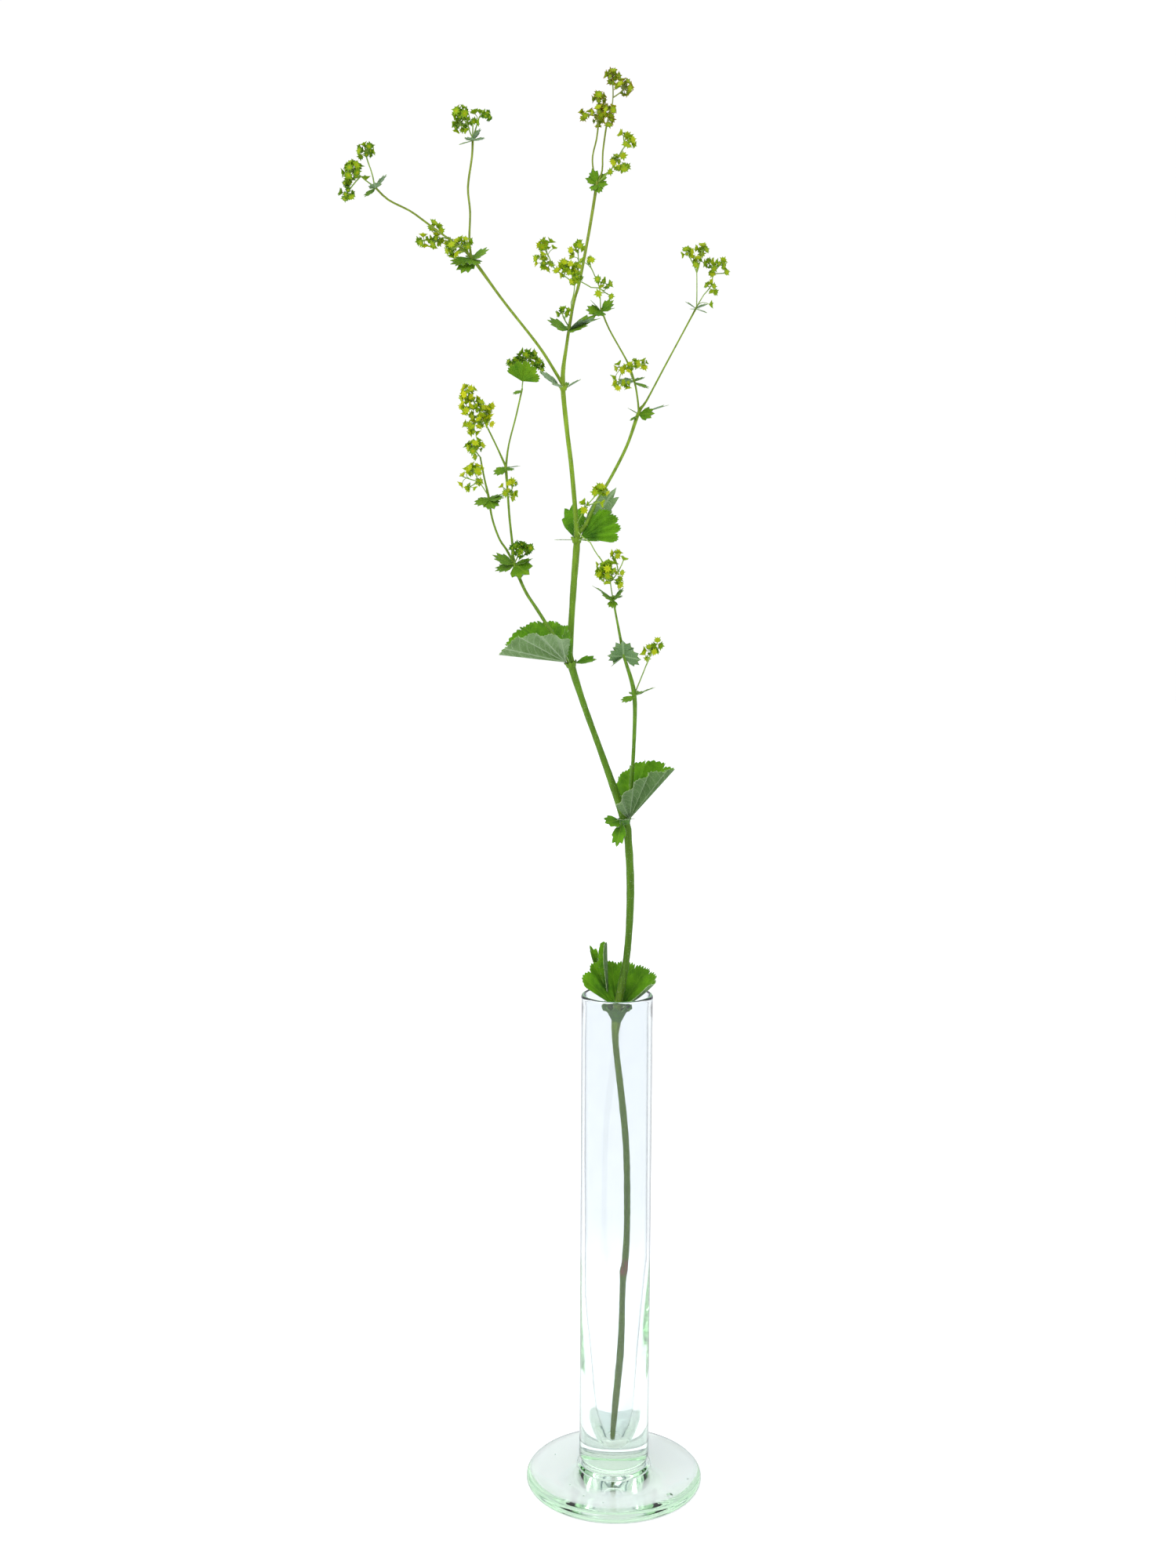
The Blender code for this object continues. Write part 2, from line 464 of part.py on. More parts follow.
def tube(name, stations, sides, grow=0.0):
    """A closed tube along stations of x, y, z and radius, in millimetres.

    grow widens it and lengthens both ends by the same amount.
    """
    centres = [station.to_3d() for station in stations]
    last = len(centres) - 1
    ways = [(centres[min(i + 1, last)] - centres[max(i - 1, 0)]).normalized()
            for i in range(len(centres))]
    centres[0] = centres[0] - ways[0] * grow
    centres[last] = centres[last] + ways[last] * grow
    side = ways[0].orthogonal().normalized()
    points = []
    for centre, way, station in zip(centres, ways, stations):
        side = (side - way * side.dot(way)).normalized()
        other = way.cross(side)
        for corner in range(sides):
            angle = 2 * math.pi * corner / sides
            reach = (station[3] + grow) * (side * math.cos(angle) + other * math.sin(angle))
            points.append((centre + reach) * 0.001)
    faces = [tuple(reversed(range(sides))), tuple(range(last * sides, (last + 1) * sides))]
    for ring in range(last):
        bridge(faces, ring * sides, (ring + 1) * sides, sides)
    return mesh_object(name, points, faces)


def ring_collar(name, leaf):
    """The sheath of a leaf: a ring about the stem that widens upwards."""
    axis = Vector(leaf.axis).normalized()
    node = Vector(leaf.node)
    side = axis.orthogonal().normalized()
    other = axis.cross(side)
    flare = (leaf.outer - leaf.inner) * 0.5
    section = (
        (leaf.inner, -0.5), (leaf.outer - flare, -0.5), (leaf.outer, 0.5), (leaf.inner, 0.5))
    points = []
    for radius, level in section:
        for corner in range(STEM_SIDES):
            angle = 2 * math.pi * corner / STEM_SIDES
            reach = radius * (side * math.cos(angle) + other * math.sin(angle))
            points.append((node + axis * level * leaf.height + reach) * 0.001)
    faces = []
    for ring in range(4):
        bridge(faces, ring * STEM_SIDES, (ring + 1) % 4 * STEM_SIDES, STEM_SIDES)
    return mesh_object(name, points, faces)


def keep_largest(piece, merge):
    """Drops loose scraps, so that the piece is one body, and merges near points."""
    shell = bmesh.new()
    shell.from_mesh(piece.data)
    bmesh.ops.remove_doubles(shell, verts=shell.verts, dist=merge)
    bmesh.ops.dissolve_degenerate(shell, edges=shell.edges, dist=merge)
    bmesh.ops.triangulate(shell, faces=[face for face in shell.faces if len(face.verts) > 3])
    left = dict.fromkeys(shell.verts)
    largest = []
    while left:
        island = [left.popitem()[0]]
        for vert in island:
            for edge in vert.link_edges:
                other = edge.other_vert(vert)
                if other in left:
                    del left[other]
                    island.append(other)
        if len(island) > len(largest):
            largest = island
    kept = set(largest)
    bmesh.ops.delete(shell, geom=[v for v in shell.verts if v not in kept], context="VERTS")
    shell.to_mesh(piece.data)
    shell.free()


def is_closed(mesh):
    """Whether every edge of a mesh has just two faces."""
    shell = bmesh.new()
    shell.from_mesh(mesh)
    closed = len(shell.faces) > 0 and all(edge.is_manifold for edge in shell.edges)
    shell.free()
    return closed


def apply_boolean(piece, operation, collection=None, tool=None):
    """Applies one Boolean to a piece, with a collection or one object as its tool."""
    source = piece.data
    for solver, merge in (("EXACT", 0.002), ("EXACT", 0.0002), ("MANIFOLD", 0.0002)):
        piece.data = source
        modifier = piece.modifiers.new(operation, "BOOLEAN")
        modifier.operation = operation
        modifier.solver = solver
        if collection:
            modifier.operand_type = "COLLECTION"
            modifier.collection = collection
        else:
            modifier.object = tool
        bpy.context.view_layer.update()
        graph = bpy.context.evaluated_depsgraph_get()
        mesh = bpy.data.meshes.new_from_object(piece.evaluated_get(graph))
        piece.modifiers.clear()
        piece.data = mesh
        keep_largest(piece, mm(merge))
        if is_closed(piece.data):
            break


def fuse(name, pieces):
    """Joins overlapping closed pieces into one body by a union on a collection."""
    first = pieces[0]
    first.name = name
    if len(pieces) > 1:
        group = bpy.data.collections.new(name + "_parts")
        bpy.context.scene.collection.children.link(group)
        for piece in pieces[1:]:
            group.objects.link(piece)
        apply_boolean(first, "UNION", collection=group)
        for piece in pieces[1:]:
            bpy.data.objects.remove(piece, do_unlink=True)
        bpy.data.collections.remove(group)
    return first


def thin_out(piece, target):
    """Brings a piece down to about a target of triangles, slivers of its union first."""
    share = min(1.0, target / len(piece.data.polygons))
    modifier = piece.modifiers.new("thin_out", "DECIMATE")
    modifier.decimate_type = "COLLAPSE"
    modifier.ratio = share
    bpy.context.view_layer.update()
    graph = bpy.context.evaluated_depsgraph_get()
    mesh = bpy.data.meshes.new_from_object(piece.evaluated_get(graph))
    piece.modifiers.clear()
    piece.data = mesh


def vase_profile():
    """Radius and height of the vase's section, from under the foot to the cavity floor."""
    inner = TUBE_RADIUS - WALL
    return (
        (FOOT_RADIUS - 1.6, 0.0), (FOOT_RADIUS - 0.3, 1.0), (FOOT_RADIUS, 2.5),
        (FOOT_RADIUS - 1.5, FOOT_EDGE), (30.0, FOOT_EDGE + 0.6),
        (22.0, COLLAR_LEVEL - 2.0), (COLLAR_RADIUS + 0.4, COLLAR_LEVEL - 0.6),
        (COLLAR_RADIUS - 0.7, COLLAR_LEVEL + 0.3), (GROOVE_RADIUS, COLLAR_LEVEL + 1.6),
        (GROOVE_RADIUS + 0.7, COLLAR_LEVEL + 3.2), (TUBE_RADIUS, COLLAR_LEVEL + 5.4),
        (TUBE_RADIUS, VASE_HEIGHT - 2.4), (TUBE_RADIUS + 0.1, VASE_HEIGHT - 1.0),
        (TUBE_RADIUS - 0.9, VASE_HEIGHT), (inner + 0.1, VASE_HEIGHT - 0.6),
        (inner, TAPER_TOP), (14.5, 99.0), (12.3, 70.0), (9.6, 41.0), (6.6, 26.6),
        (3.2, CAVITY_FLOOR),
    )


def build_vase():
    """The vase, turned from its section and closed by a flat disc at each end."""
    profile = vase_profile()
    points = []
    for radius, height in profile:
        for corner in range(VASE_SIDES):
            angle = 2 * math.pi * corner / VASE_SIDES
            points.append((mm(radius * math.cos(angle)), mm(radius * math.sin(angle)), mm(height)))
    faces = []
    for ring in range(len(profile) - 1):
        bridge(faces, ring * VASE_SIDES, (ring + 1) * VASE_SIDES, VASE_SIDES)
    top = (len(profile) - 1) * VASE_SIDES
    faces.append(tuple(reversed(range(VASE_SIDES))))
    faces.append(tuple(range(top, top + VASE_SIDES)))
    vase = mesh_object("vase", points, faces)
    vase.data.materials.append(make_material("bottle_glass", (0.86, 0.95, 0.88), 0.02, 1.0))
    vase.data.shade_smooth()
    vase.data.set_sharp_from_angle(angle=math.radians(40))
    return vase


def build_tubes(name, grow=0.0):
    """The main stem and its branches as tubes."""
    return [tube(f"{name}_{index}", smooth_points(route.points, STATION_STEP), route.sides, grow)
            for index, route in enumerate((MAIN_STEM, *BRANCHES))]


def blade_frame(blade):
    """The blade's base, its length and the three ways of its frame."""
    base = vector(blade.base)
    along = vector(blade.toward) - base
    length = along.length
    along.normalize()
    upper = Vector(blade.upper)
    upper = (upper - along * upper.dot(along)).normalized()
    across = upper.cross(along)
    return base, length, along, across, upper


def blade_reach(blade, share):
    """How far the margin reaches at a share of the spread from -1 to 1, as part of the length."""
    outline = blade.shoulder + (1 - blade.shoulder) * math.cos(math.pi * share / 2)
    outline *= 1 + blade.lean * share
    if blade.lobes > 1:
        wave = abs(math.sin(math.pi * blade.lobes * (share + 1) / 2))
        return outline * (1 - blade.lobe_depth * (1 - wave ** 0.6))
    return outline * (1 - 0.3 * share ** 2)


def blade_point(blade, frame, reach, share):
    """A point of the blade's middle surface and its normal there."""
    base, length, along, across, upper = frame

    def place(radius, portion):
        angle = math.radians(blade.spread) * portion
        lift = math.radians(blade.lift)
        fold = math.radians(blade.folds[0] if portion < 0 else blade.folds[1])
        fold *= min(1.0, abs(portion) * 3.0)
        forward = radius * math.cos(angle) * math.cos(lift)
        sideways = radius * math.sin(angle) * math.cos(lift)
        height = radius * math.sin(lift) + blade.curl * radius * radius
        height += abs(sideways) * math.sin(fold)
        sideways *= math.cos(fold)
        return base + length * (along * forward + across * sideways + upper * height)

    small = 0.02
    radius = max(reach, 0.05)
    point = place(reach, share)
    out = place(radius + small, share) - place(radius, share)
    turn = place(radius, share + small) - place(radius, share - small)
    normal = out.cross(turn).normalized()
    if normal.dot(upper) < 0:
        normal = -normal
    return point, normal


def blade_places(blade):
    """Reach and share of the blade's points, its triangles and the order of its margin."""
    count = blade.lobes * blade.teeth
    large = blade.lobes > 1
    depth = 0.92 if large else 0.86
    places = [(0.0, 0.0)]
    inner = []
    notch = []
    tips = []
    for index in range(count + 1):
        share = 2 * index / count - 1
        if large:
            inner.append(len(places))
            places.append((blade_reach(blade, share) * 0.5, share))
        notch.append(len(places))
        places.append((blade_reach(blade, share) * depth, share))
    for index in range(count):
        share = (2 * index + 1) / count - 1
        tips.append(len(places))
        places.append((blade_reach(blade, share), share))
    flat = []
    edge = [0, inner[0]] if large else [0]
    for index in range(count):
        edge += [notch[index], tips[index]]
        flat.append((notch[index], tips[index], notch[index + 1]))
        if large:
            flat.append((0, inner[index], inner[index + 1]))
            flat.append((inner[index], notch[index], inner[index + 1]))
            flat.append((inner[index + 1], notch[index], notch[index + 1]))
        else:
            flat.append((0, notch[index], notch[index + 1]))
    edge += [notch[count], inner[count]] if large else [notch[count]]
    return places, flat, edge


def build_blade(name, blade):
    """A toothed blade of even thickness, split alike on both faces."""
    frame = blade_frame(blade)
    places, flat, edge = blade_places(blade)
    half = mm(BLADE / 2)
    surface = [blade_point(blade, frame, reach, share) for reach, share in places]
    points = [point + normal * half for point, normal in surface]
    points += [point - normal * half for point, normal in surface]
    below = len(surface)
    faces = list(flat)
    faces += [tuple(below + corner for corner in reversed(face)) for face in flat]
    for index, corner in enumerate(edge):
        after = edge[(index + 1) % len(edge)]
        faces.append((corner, below + corner, below + after))
        faces.append((corner, below + after, after))
    return mesh_object(name, points, faces)


def build_stem():
    """The stem with its branches and the small bracts that grow from it."""
    pieces = build_tubes("stem")
    pieces += [build_blade(f"stem_bract_{i}", blade) for i, blade in enumerate(STEM_BRACTS)]
    stem = fuse("stem", pieces)
    thin_out(stem, STEM_TRIANGLES)
    stem.data.materials.clear()
    stem.data.materials.append(make_material("stem_green", (0.18, 0.35, 0.03), 0.55))
    return stem


def build_leaf(leaf, room):
    """A leaf's blades and sheath in one body, cut clear of the stem."""
    pieces = [ring_collar(leaf.name + "_sheath", leaf)]
    pieces += [build_blade(f"{leaf.name}_{i}", blade) for i, blade in enumerate(leaf.blades)]
    body = fuse(leaf.name, pieces)
    apply_boolean(body, "DIFFERENCE", tool=room)
    return body


def octahedron(centre, axis, radius):
    """Corners and faces of an eight-faced knot with one face turned back along the axis."""
    side = axis.orthogonal().normalized()
    other = axis.cross(side)
    level = radius / math.sqrt(3)
    ring = radius * math.sqrt(2 / 3)
    points = []
    for back, turn in ((-1, 0.0), (1, math.pi / 3)):
        for corner in range(3):
            angle = turn + 2 * math.pi * corner / 3
            points.append(centre + axis * level * back
                          + ring * (side * math.cos(angle) + other * math.sin(angle)))
    faces = [(2, 1, 0), (3, 4, 5)]
    for corner in range(3):
        after = (corner + 1) % 3
        faces.append((corner, after, 3 + corner))
        faces.append((after, 3 + after, 3 + corner))
    return points, faces


def add_flower(points, faces, root, centre, way):
    """Adds a star-shaped flower whose pedicel starts from the three root corners."""
    middle = sum((points[corner] for corner in root), Vector()) / 3
    side = points[root[0]] - middle
    side = (side - way * side.dot(way)).normalized()
    other = way.cross(side)
    neck = len(points)
    for corner in range(3):
        angle = 2 * math.pi * corner / 3
        reach = mm(PEDICEL_RADIUS) * (side * math.cos(angle) + other * math.sin(angle))
        points.append(centre - way * mm(CUP_DEPTH) + reach)
    for corner in range(3):
        after = (corner + 1) % 3
        faces.append((root[corner], root[after], neck + after))
        faces.append((root[corner], neck + after, neck + corner))
    rim = 2 * SEPALS
    first = len(points)
    for corner in range(rim):
        angle = 2 * math.pi * corner / rim
        radius = mm(FLOWER_RADIUS * (NOTCH if corner % 2 else 1.0))
        points.append(centre + radius * (side * math.cos(angle) + other * math.sin(angle)))
    points.append(centre - way * mm(0.25))
    for corner in range(rim):
        after = (corner + 1) % rim
        low = neck + round(corner * 3 / rim) % 3
        high = neck + round((corner + 1) * 3 / rim) % 3
        faces.append((low, first + after, first + corner))
        if low != high:
            faces.append((low, high, first + after))
        faces.append((first + corner, first + after, first + rim))


def head_ways(axis, count, draw):
    """Ways from a head's hub to its flowers, spread evenly over a dome."""
    side = axis.orthogonal().normalized()
    other = axis.cross(side)
    start = draw.uniform(0.0, 2 * math.pi)
    ways = []
    for index in range(count):
        height = 1.0 - 1.3 * (index + 0.5) / count
        ring = math.sqrt(max(0.0, 1.0 - height * height))
        angle = start + TURN * index
        ways.append(axis * height + ring * (side * math.cos(angle) + other * math.sin(angle)))
    return ways


def build_head(name, hub, axis, count, draw):
    """A knot whose faces grow out into flowers, as one closed shell."""
    points, faces = octahedron(hub, axis, mm(HUB_RADIUS))
    free = faces[1:]
    size = mm(1.35 + 1.1 * math.sqrt(count))
    for way in head_ways(axis, count, draw):
        root = max(free, key=lambda face: way.dot(
            sum((points[corner] for corner in face), Vector()) / 3 - hub))
        free.remove(root)
        faces.remove(root)
        add_flower(points, faces, root, hub + way * size, way)
    return mesh_object(name, points, faces)


def build_single(name, start, centre):
    """One flower on its own stalk."""
    way = (centre - start).normalized()
    side = way.orthogonal().normalized()
    other = way.cross(side)
    points = []
    for corner in range(3):
        angle = 2 * math.pi * corner / 3
        reach = side * math.cos(angle) + other * math.sin(angle)
        points.append(start + mm(STALK_RADIUS) * reach)
    faces = [(2, 1, 0)]
    add_flower(points, faces, (0, 1, 2), centre, way)
    return mesh_object(name, points, faces)


def build_spray(spray, room, seed):
    """A spray: stalks, heads of flowers and small bracts, fused and cut clear of the stem."""
    draw = random.Random(seed)
    root = vector(spray.root)
    pieces = []
    hubs = []
    for index, head in enumerate(spray.heads):
        name = f"{spray.name}_{index}"
        centre = vector(head.centre)
        start = root if head.parent < 0 else hubs[head.parent]
        if head.count == 1:
            pieces.append(build_single(name, start, centre))
            hubs.append(centre - (centre - start).normalized() * mm(CUP_DEPTH + 0.4))
            continue
        axis = (centre - start).normalized()
        size = mm(1.35 + 1.1 * math.sqrt(head.count)) if head.count else 0.0
        hub = centre - axis * size * 0.45
        hubs.append(hub)
        stations = [Vector((*(start * 1000), STALK_RADIUS)), Vector((*(hub * 1000), STALK_RADIUS))]
        pieces.append(tube(name + "_stalk", stations, STALK_SIDES))
        if head.count:
            pieces.append(build_head(name, hub, axis, head.count, draw))
        else:
            pieces.append(mesh_object(name, *octahedron(hub, axis, mm(FORK_RADIUS))))
    for index, blade in enumerate(spray.bracts):
        pieces.append(build_blade(f"{spray.name}_bract_{index}", blade))
    body = fuse(spray.name, pieces)
    flowers = sum(head.count for head in spray.heads)
    thin_out(body, FLOWER_TRIANGLES * flowers + HEAD_TRIANGLES * len(spray.heads))
    apply_boolean(body, "DIFFERENCE", tool=room)
    return body


def main():
    """Builds every piece in its place."""
    clear_scene()
    build_vase()
    build_stem()
    room = fuse("stem_room", build_tubes("stem_room", GAP))
    leaf_green = make_material("leaf_green", (0.07, 0.25, 0.03), 0.6)
    flower_green = make_material("flower_green", (0.36, 0.5, 0.03), 0.65)
    for leaf in LEAVES:
        body = build_leaf(leaf, room)
        body.data.materials.clear()
        body.data.materials.append(leaf_green)
    for seed, spray in enumerate(SPRAYS):
        body = build_spray(spray, room, seed)
        body.data.materials.clear()
        body.data.materials.append(flower_green)
    bpy.data.objects.remove(room, do_unlink=True)


main()
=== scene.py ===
"""Looks of a cut alchemilla stem in a tall footed glass vase.

Sizes are in millimetres, as in the part's source, and spot() or mm() turns them into the
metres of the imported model: origin under the middle of the foot, +X to the right, +Y away
from the viewer and +Z up.
"""
from __future__ import annotations

import logging
import math
import random
from dataclasses import dataclass, field
from enum import Enum, IntEnum

import bmesh
import bpy
from bpy.types import Material, Mesh, Node, NodeSocket, NodeTree, Object
from mathutils import Matrix, Vector


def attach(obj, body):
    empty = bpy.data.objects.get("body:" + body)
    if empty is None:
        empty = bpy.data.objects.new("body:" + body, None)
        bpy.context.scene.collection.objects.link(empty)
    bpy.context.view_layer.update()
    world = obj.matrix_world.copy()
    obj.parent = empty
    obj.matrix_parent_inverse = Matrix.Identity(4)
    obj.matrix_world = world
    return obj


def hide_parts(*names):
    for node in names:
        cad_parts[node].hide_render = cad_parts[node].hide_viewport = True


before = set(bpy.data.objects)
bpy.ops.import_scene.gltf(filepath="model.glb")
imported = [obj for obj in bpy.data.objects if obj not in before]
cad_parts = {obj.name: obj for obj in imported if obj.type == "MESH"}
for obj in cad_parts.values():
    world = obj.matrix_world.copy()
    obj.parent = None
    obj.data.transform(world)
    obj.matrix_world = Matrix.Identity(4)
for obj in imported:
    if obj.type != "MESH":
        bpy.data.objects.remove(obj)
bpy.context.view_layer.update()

log = logging.getLogger("alchemilla")
Point = tuple[float, ...]

# Faces that meet at more than this angle keep a sharp edge
SHARP = math.radians(50)
# The golden angle, which spreads the flowers of a knot evenly round it
GOLDEN_ANGLE = math.pi * (3.0 - math.sqrt(5.0))


def mm(value: float) -> float:
    """Millimetres as metres."""
    return value * 0.001


def spot(point: Point) -> Vector:
    """A point in millimetres as a vector in metres."""
    return Vector(point[:3]) * 0.001


def repeats(size: float) -> float:
    """The scale of a pattern whose cells are this many millimetres across."""
    return 1.0 / mm(size)


def linear(code: str) -> tuple[float, float, float, float]:
    """An sRGB hex colour as linear values with full alpha.

    Args:
        code: the colour, such as "#5f8f1e".

    Returns:
        Red, green, blue and alpha in linear light.
    """
    shares = [int(code[at:at + 2], 16) / 255 for at in (1, 3, 5)]
    return (*[v / 12.92 if v <= 0.04045 else ((v + 0.055) / 1.055) ** 2.4 for v in shares], 1.0)


def add_node(tree: NodeTree, kind: str, inputs: dict[str | int, object] | None = None,
             **settings: object) -> Node:
    """Adds a node with its settings and links.

    Args:
        tree: the node tree that gets the node.
        kind: the node's type.
        inputs: for each input, by name or number, its value, another node's socket, or
            another node, which stands for its first output.
        settings: its properties by name.

    Returns:
        The new node.
    """
    node = tree.nodes.new(kind)
    for key, value in settings.items():
        setattr(node, key, value)
    for key, value in (inputs or {}).items():
        if isinstance(value, Node):
            value = value.outputs[0]
        if isinstance(value, NodeSocket):
            tree.links.new(value, node.inputs[key])
        else:
            node.inputs[key].default_value = value
    return node


def fill_ramp(node: Node, stops: tuple[tuple[float, str], ...]) -> Node:
    """Gives a colour ramp its stops.

    Args:
        node: the ramp.
        stops: place from 0 to 1 and hex colour of each stop, in order.

    Returns:
        The same ramp.
    """
    elements = node.color_ramp.elements
    while len(elements) < len(stops):
        elements.new(1.0)
    for element, (share, code) in zip(elements, stops):
        element.position = share
        element.color = linear(code)
    return node


class Slot(Enum):
    """The record's material slots."""

    GLASS = "bottle_glass"
    STEM = "stem_green"
    LEAF = "leaf_green"
    FLOWER = "flower_green"


class Face(IntEnum):
    """The surfaces of a leaf, in the order of its materials."""

    UPPER = 0
    UNDER = 1
    MARGIN = 2
    SHEATH = 3


# Finishes

@dataclass(frozen=True)
class Finish:
    """A surface finish; its material is made from nodes."""

    name: str
    roughness: float

    def begin(self, values: dict[str, float] | None = None) -> tuple[
            Material, NodeTree, Node, NodeSocket]:
        """Starts the material.

        Args:
            values: values of the shader's own sockets, by name.

        Returns:
            The material, its node tree, its Principled BSDF and the Object coordinates.
        """
        material = bpy.data.materials.new(self.name)
        material.use_nodes = True
        tree = material.node_tree
        shader = tree.nodes["Principled BSDF"]
        for name, value in {"Roughness": self.roughness, **(values or {})}.items():
            shader.inputs[name].default_value = value
        place = add_node(tree, "ShaderNodeTexCoord").outputs["Object"]
        return material, tree, shader, place

    def dress(self, tree: NodeTree, shader: Node, colour: NodeSocket, height: Node,
              strength: float, depth: float) -> None:
        """Colours the surface and raises it by a height pattern.

        Args:
            tree: the material's nodes.
            shader: its Principled BSDF.
            colour: the surface's colour.
            height: the node that gives the pattern.
            strength: how strongly it shows.
            depth: its real depth in millimetres.
        """
        bump = add_node(tree, "ShaderNodeBump",
                        {"Strength": strength, "Distance": mm(depth), "Height": height})
        tree.links.new(colour, shader.inputs["Base Color"])
        tree.links.new(bump.outputs["Normal"], shader.inputs["Normal"])


@dataclass(frozen=True)
class SodaLimeGlass(Finish):
    """Hand-blown soda-lime glass, nearly clear in the wall.

    Its body absorbs light, so that it is green where the light's path is long, and a
    painted shade darkens its edges where the wall is seen end on, standing in for the
    dark lines that glass shows there from its surroundings.
    """

    clear: str = "#f4f7fa"
    tinted: str = "#f8fdf9"
    # Painted shade of the glass's edges, where the wall is seen end on
    edge: str = "#26323e"
    absorbed: str = "#b8edb4"
    density: float = 7.5
    ior: float = 1.5

    def make(self) -> Material:
        """Makes the glass, with slow ripples 17 mm wide and 71 mm long.

        Returns:
            The material.
        """
        material, tree, shader, place = self.begin({"Transmission Weight": 1.0, "IOR": self.ior})
        level = add_node(tree, "ShaderNodeSeparateXYZ", {0: place}).outputs["Z"]
        low = add_node(tree, "ShaderNodeMapRange",
                       {"Value": level, "From Min": mm(24), "From Max": mm(4)})
        scaled = add_node(tree, "ShaderNodeMapping",
                          {"Vector": place,
                           "Scale": (repeats(16.67), repeats(16.67), repeats(71.43))})
        ripple = add_node(tree, "ShaderNodeTexNoise",
                          {"Vector": scaled, "Scale": 1.0, "Detail": 1.5})
        share = add_node(tree, "ShaderNodeMath", {0: low, 1: ripple}, operation="MULTIPLY")
        tint = add_node(tree, "ShaderNodeMix",
                        {0: share, 6: linear(self.clear), 7: linear(self.tinted)},
                        data_type="RGBA")
        # Painted shade: toward grazing angles the colour turns to the dark edge colour, so that
        # every edge of the wall draws a dark line
        facing = add_node(tree, "ShaderNodeLayerWeight", {"Blend": 0.5}).outputs["Facing"]
        edge_shade_share = add_node(tree, "ShaderNodeMapRange",
                           {"Value": facing, "From Min": 0.6, "From Max": 0.86},
                           interpolation_type="SMOOTHSTEP")
        edge_painted_shade = add_node(tree, "ShaderNodeMix",
                         {0: edge_shade_share, 6: tint.outputs[2], 7: linear(self.edge)}, data_type="RGBA")
        self.dress(tree, shader, edge_painted_shade.outputs[2], ripple, 0.25, 0.5)
        body = add_node(tree, "ShaderNodeVolumeAbsorption",
                        {"Color": linear(self.absorbed), "Density": self.density})
        output = next(node for node in tree.nodes if node.type == "OUTPUT_MATERIAL")
        tree.links.new(body.outputs[0], output.inputs["Volume"])
        return material


@dataclass(frozen=True)
class LivingStem(Finish):
    """Living green stem, streaked lengthwise.

    It is olive at its cut end, green in the vase and above it, and yellow-green at the
    top, with a brown scar at the node in the vase.
    """

    bands: tuple[tuple[float, str], ...] = (
        (0.0, "#6c8222"), (0.10, "#5a7e0e"), (0.25, "#5c8210"), (0.31, "#688a16"),
        (0.345, "#749428"), (0.375, "#4c7212"), (0.58, "#5f8a18"), (0.78, "#84a326"),
        (0.86, "#7f9626"), (1.0, "#7b8726"))
    top: float = 690.0
    scar: str = "#7d4d3c"
    scar_level: float = 110.5

    def make(self) -> Material:
        """Makes the stem's skin, with streaks 1 mm wide and 15 mm long.

        Returns:
            The material.
        """
        material, tree, shader, place = self.begin(
            {"Sheen Weight": 0.08, "Sheen Roughness": 0.4, "Specular IOR Level": 0.2})
        level = add_node(tree, "ShaderNodeSeparateXYZ", {0: place}).outputs["Z"]
        share = add_node(tree, "ShaderNodeMapRange", {"Value": level, "From Max": mm(self.top)})
        band = fill_ramp(add_node(tree, "ShaderNodeValToRGB", {0: share}), self.bands)
        scaled = add_node(tree, "ShaderNodeMapping",
                          {"Vector": place, "Scale": (repeats(1.0), repeats(1.0), repeats(15.15))})
        streak = add_node(tree, "ShaderNodeTexNoise",
                          {"Vector": scaled, "Scale": 1.0, "Detail": 3.0})
        tone = fill_ramp(add_node(tree, "ShaderNodeValToRGB", {0: streak}),
                         ((0.3, "#b4b8a4"), (0.7, "#ffffff")))
        toned = add_node(tree, "ShaderNodeMix", {0: 0.8, 6: band, 7: tone}, data_type="RGBA",
                         blend_type="MULTIPLY")
        away = add_node(tree, "ShaderNodeMath", {0: level, 1: mm(self.scar_level)},
                        operation="SUBTRACT")
        apart = add_node(tree, "ShaderNodeMath", {0: away}, operation="ABSOLUTE")
        near = add_node(tree, "ShaderNodeMapRange",
                        {"Value": apart, "From Min": mm(5.5), "From Max": mm(2.5)})
        torn = add_node(tree, "ShaderNodeMapRange",
                        {"Value": streak, "From Min": 0.38, "From Max": 0.5})
        mark = add_node(tree, "ShaderNodeMath", {0: near, 1: torn}, operation="MULTIPLY")
        final = add_node(tree, "ShaderNodeMix",
                         {0: mark, 6: toned.outputs[2], 7: linear(self.scar)}, data_type="RGBA")
        self.dress(tree, shader, final.outputs[2], streak, 0.5, 0.12)
        return material


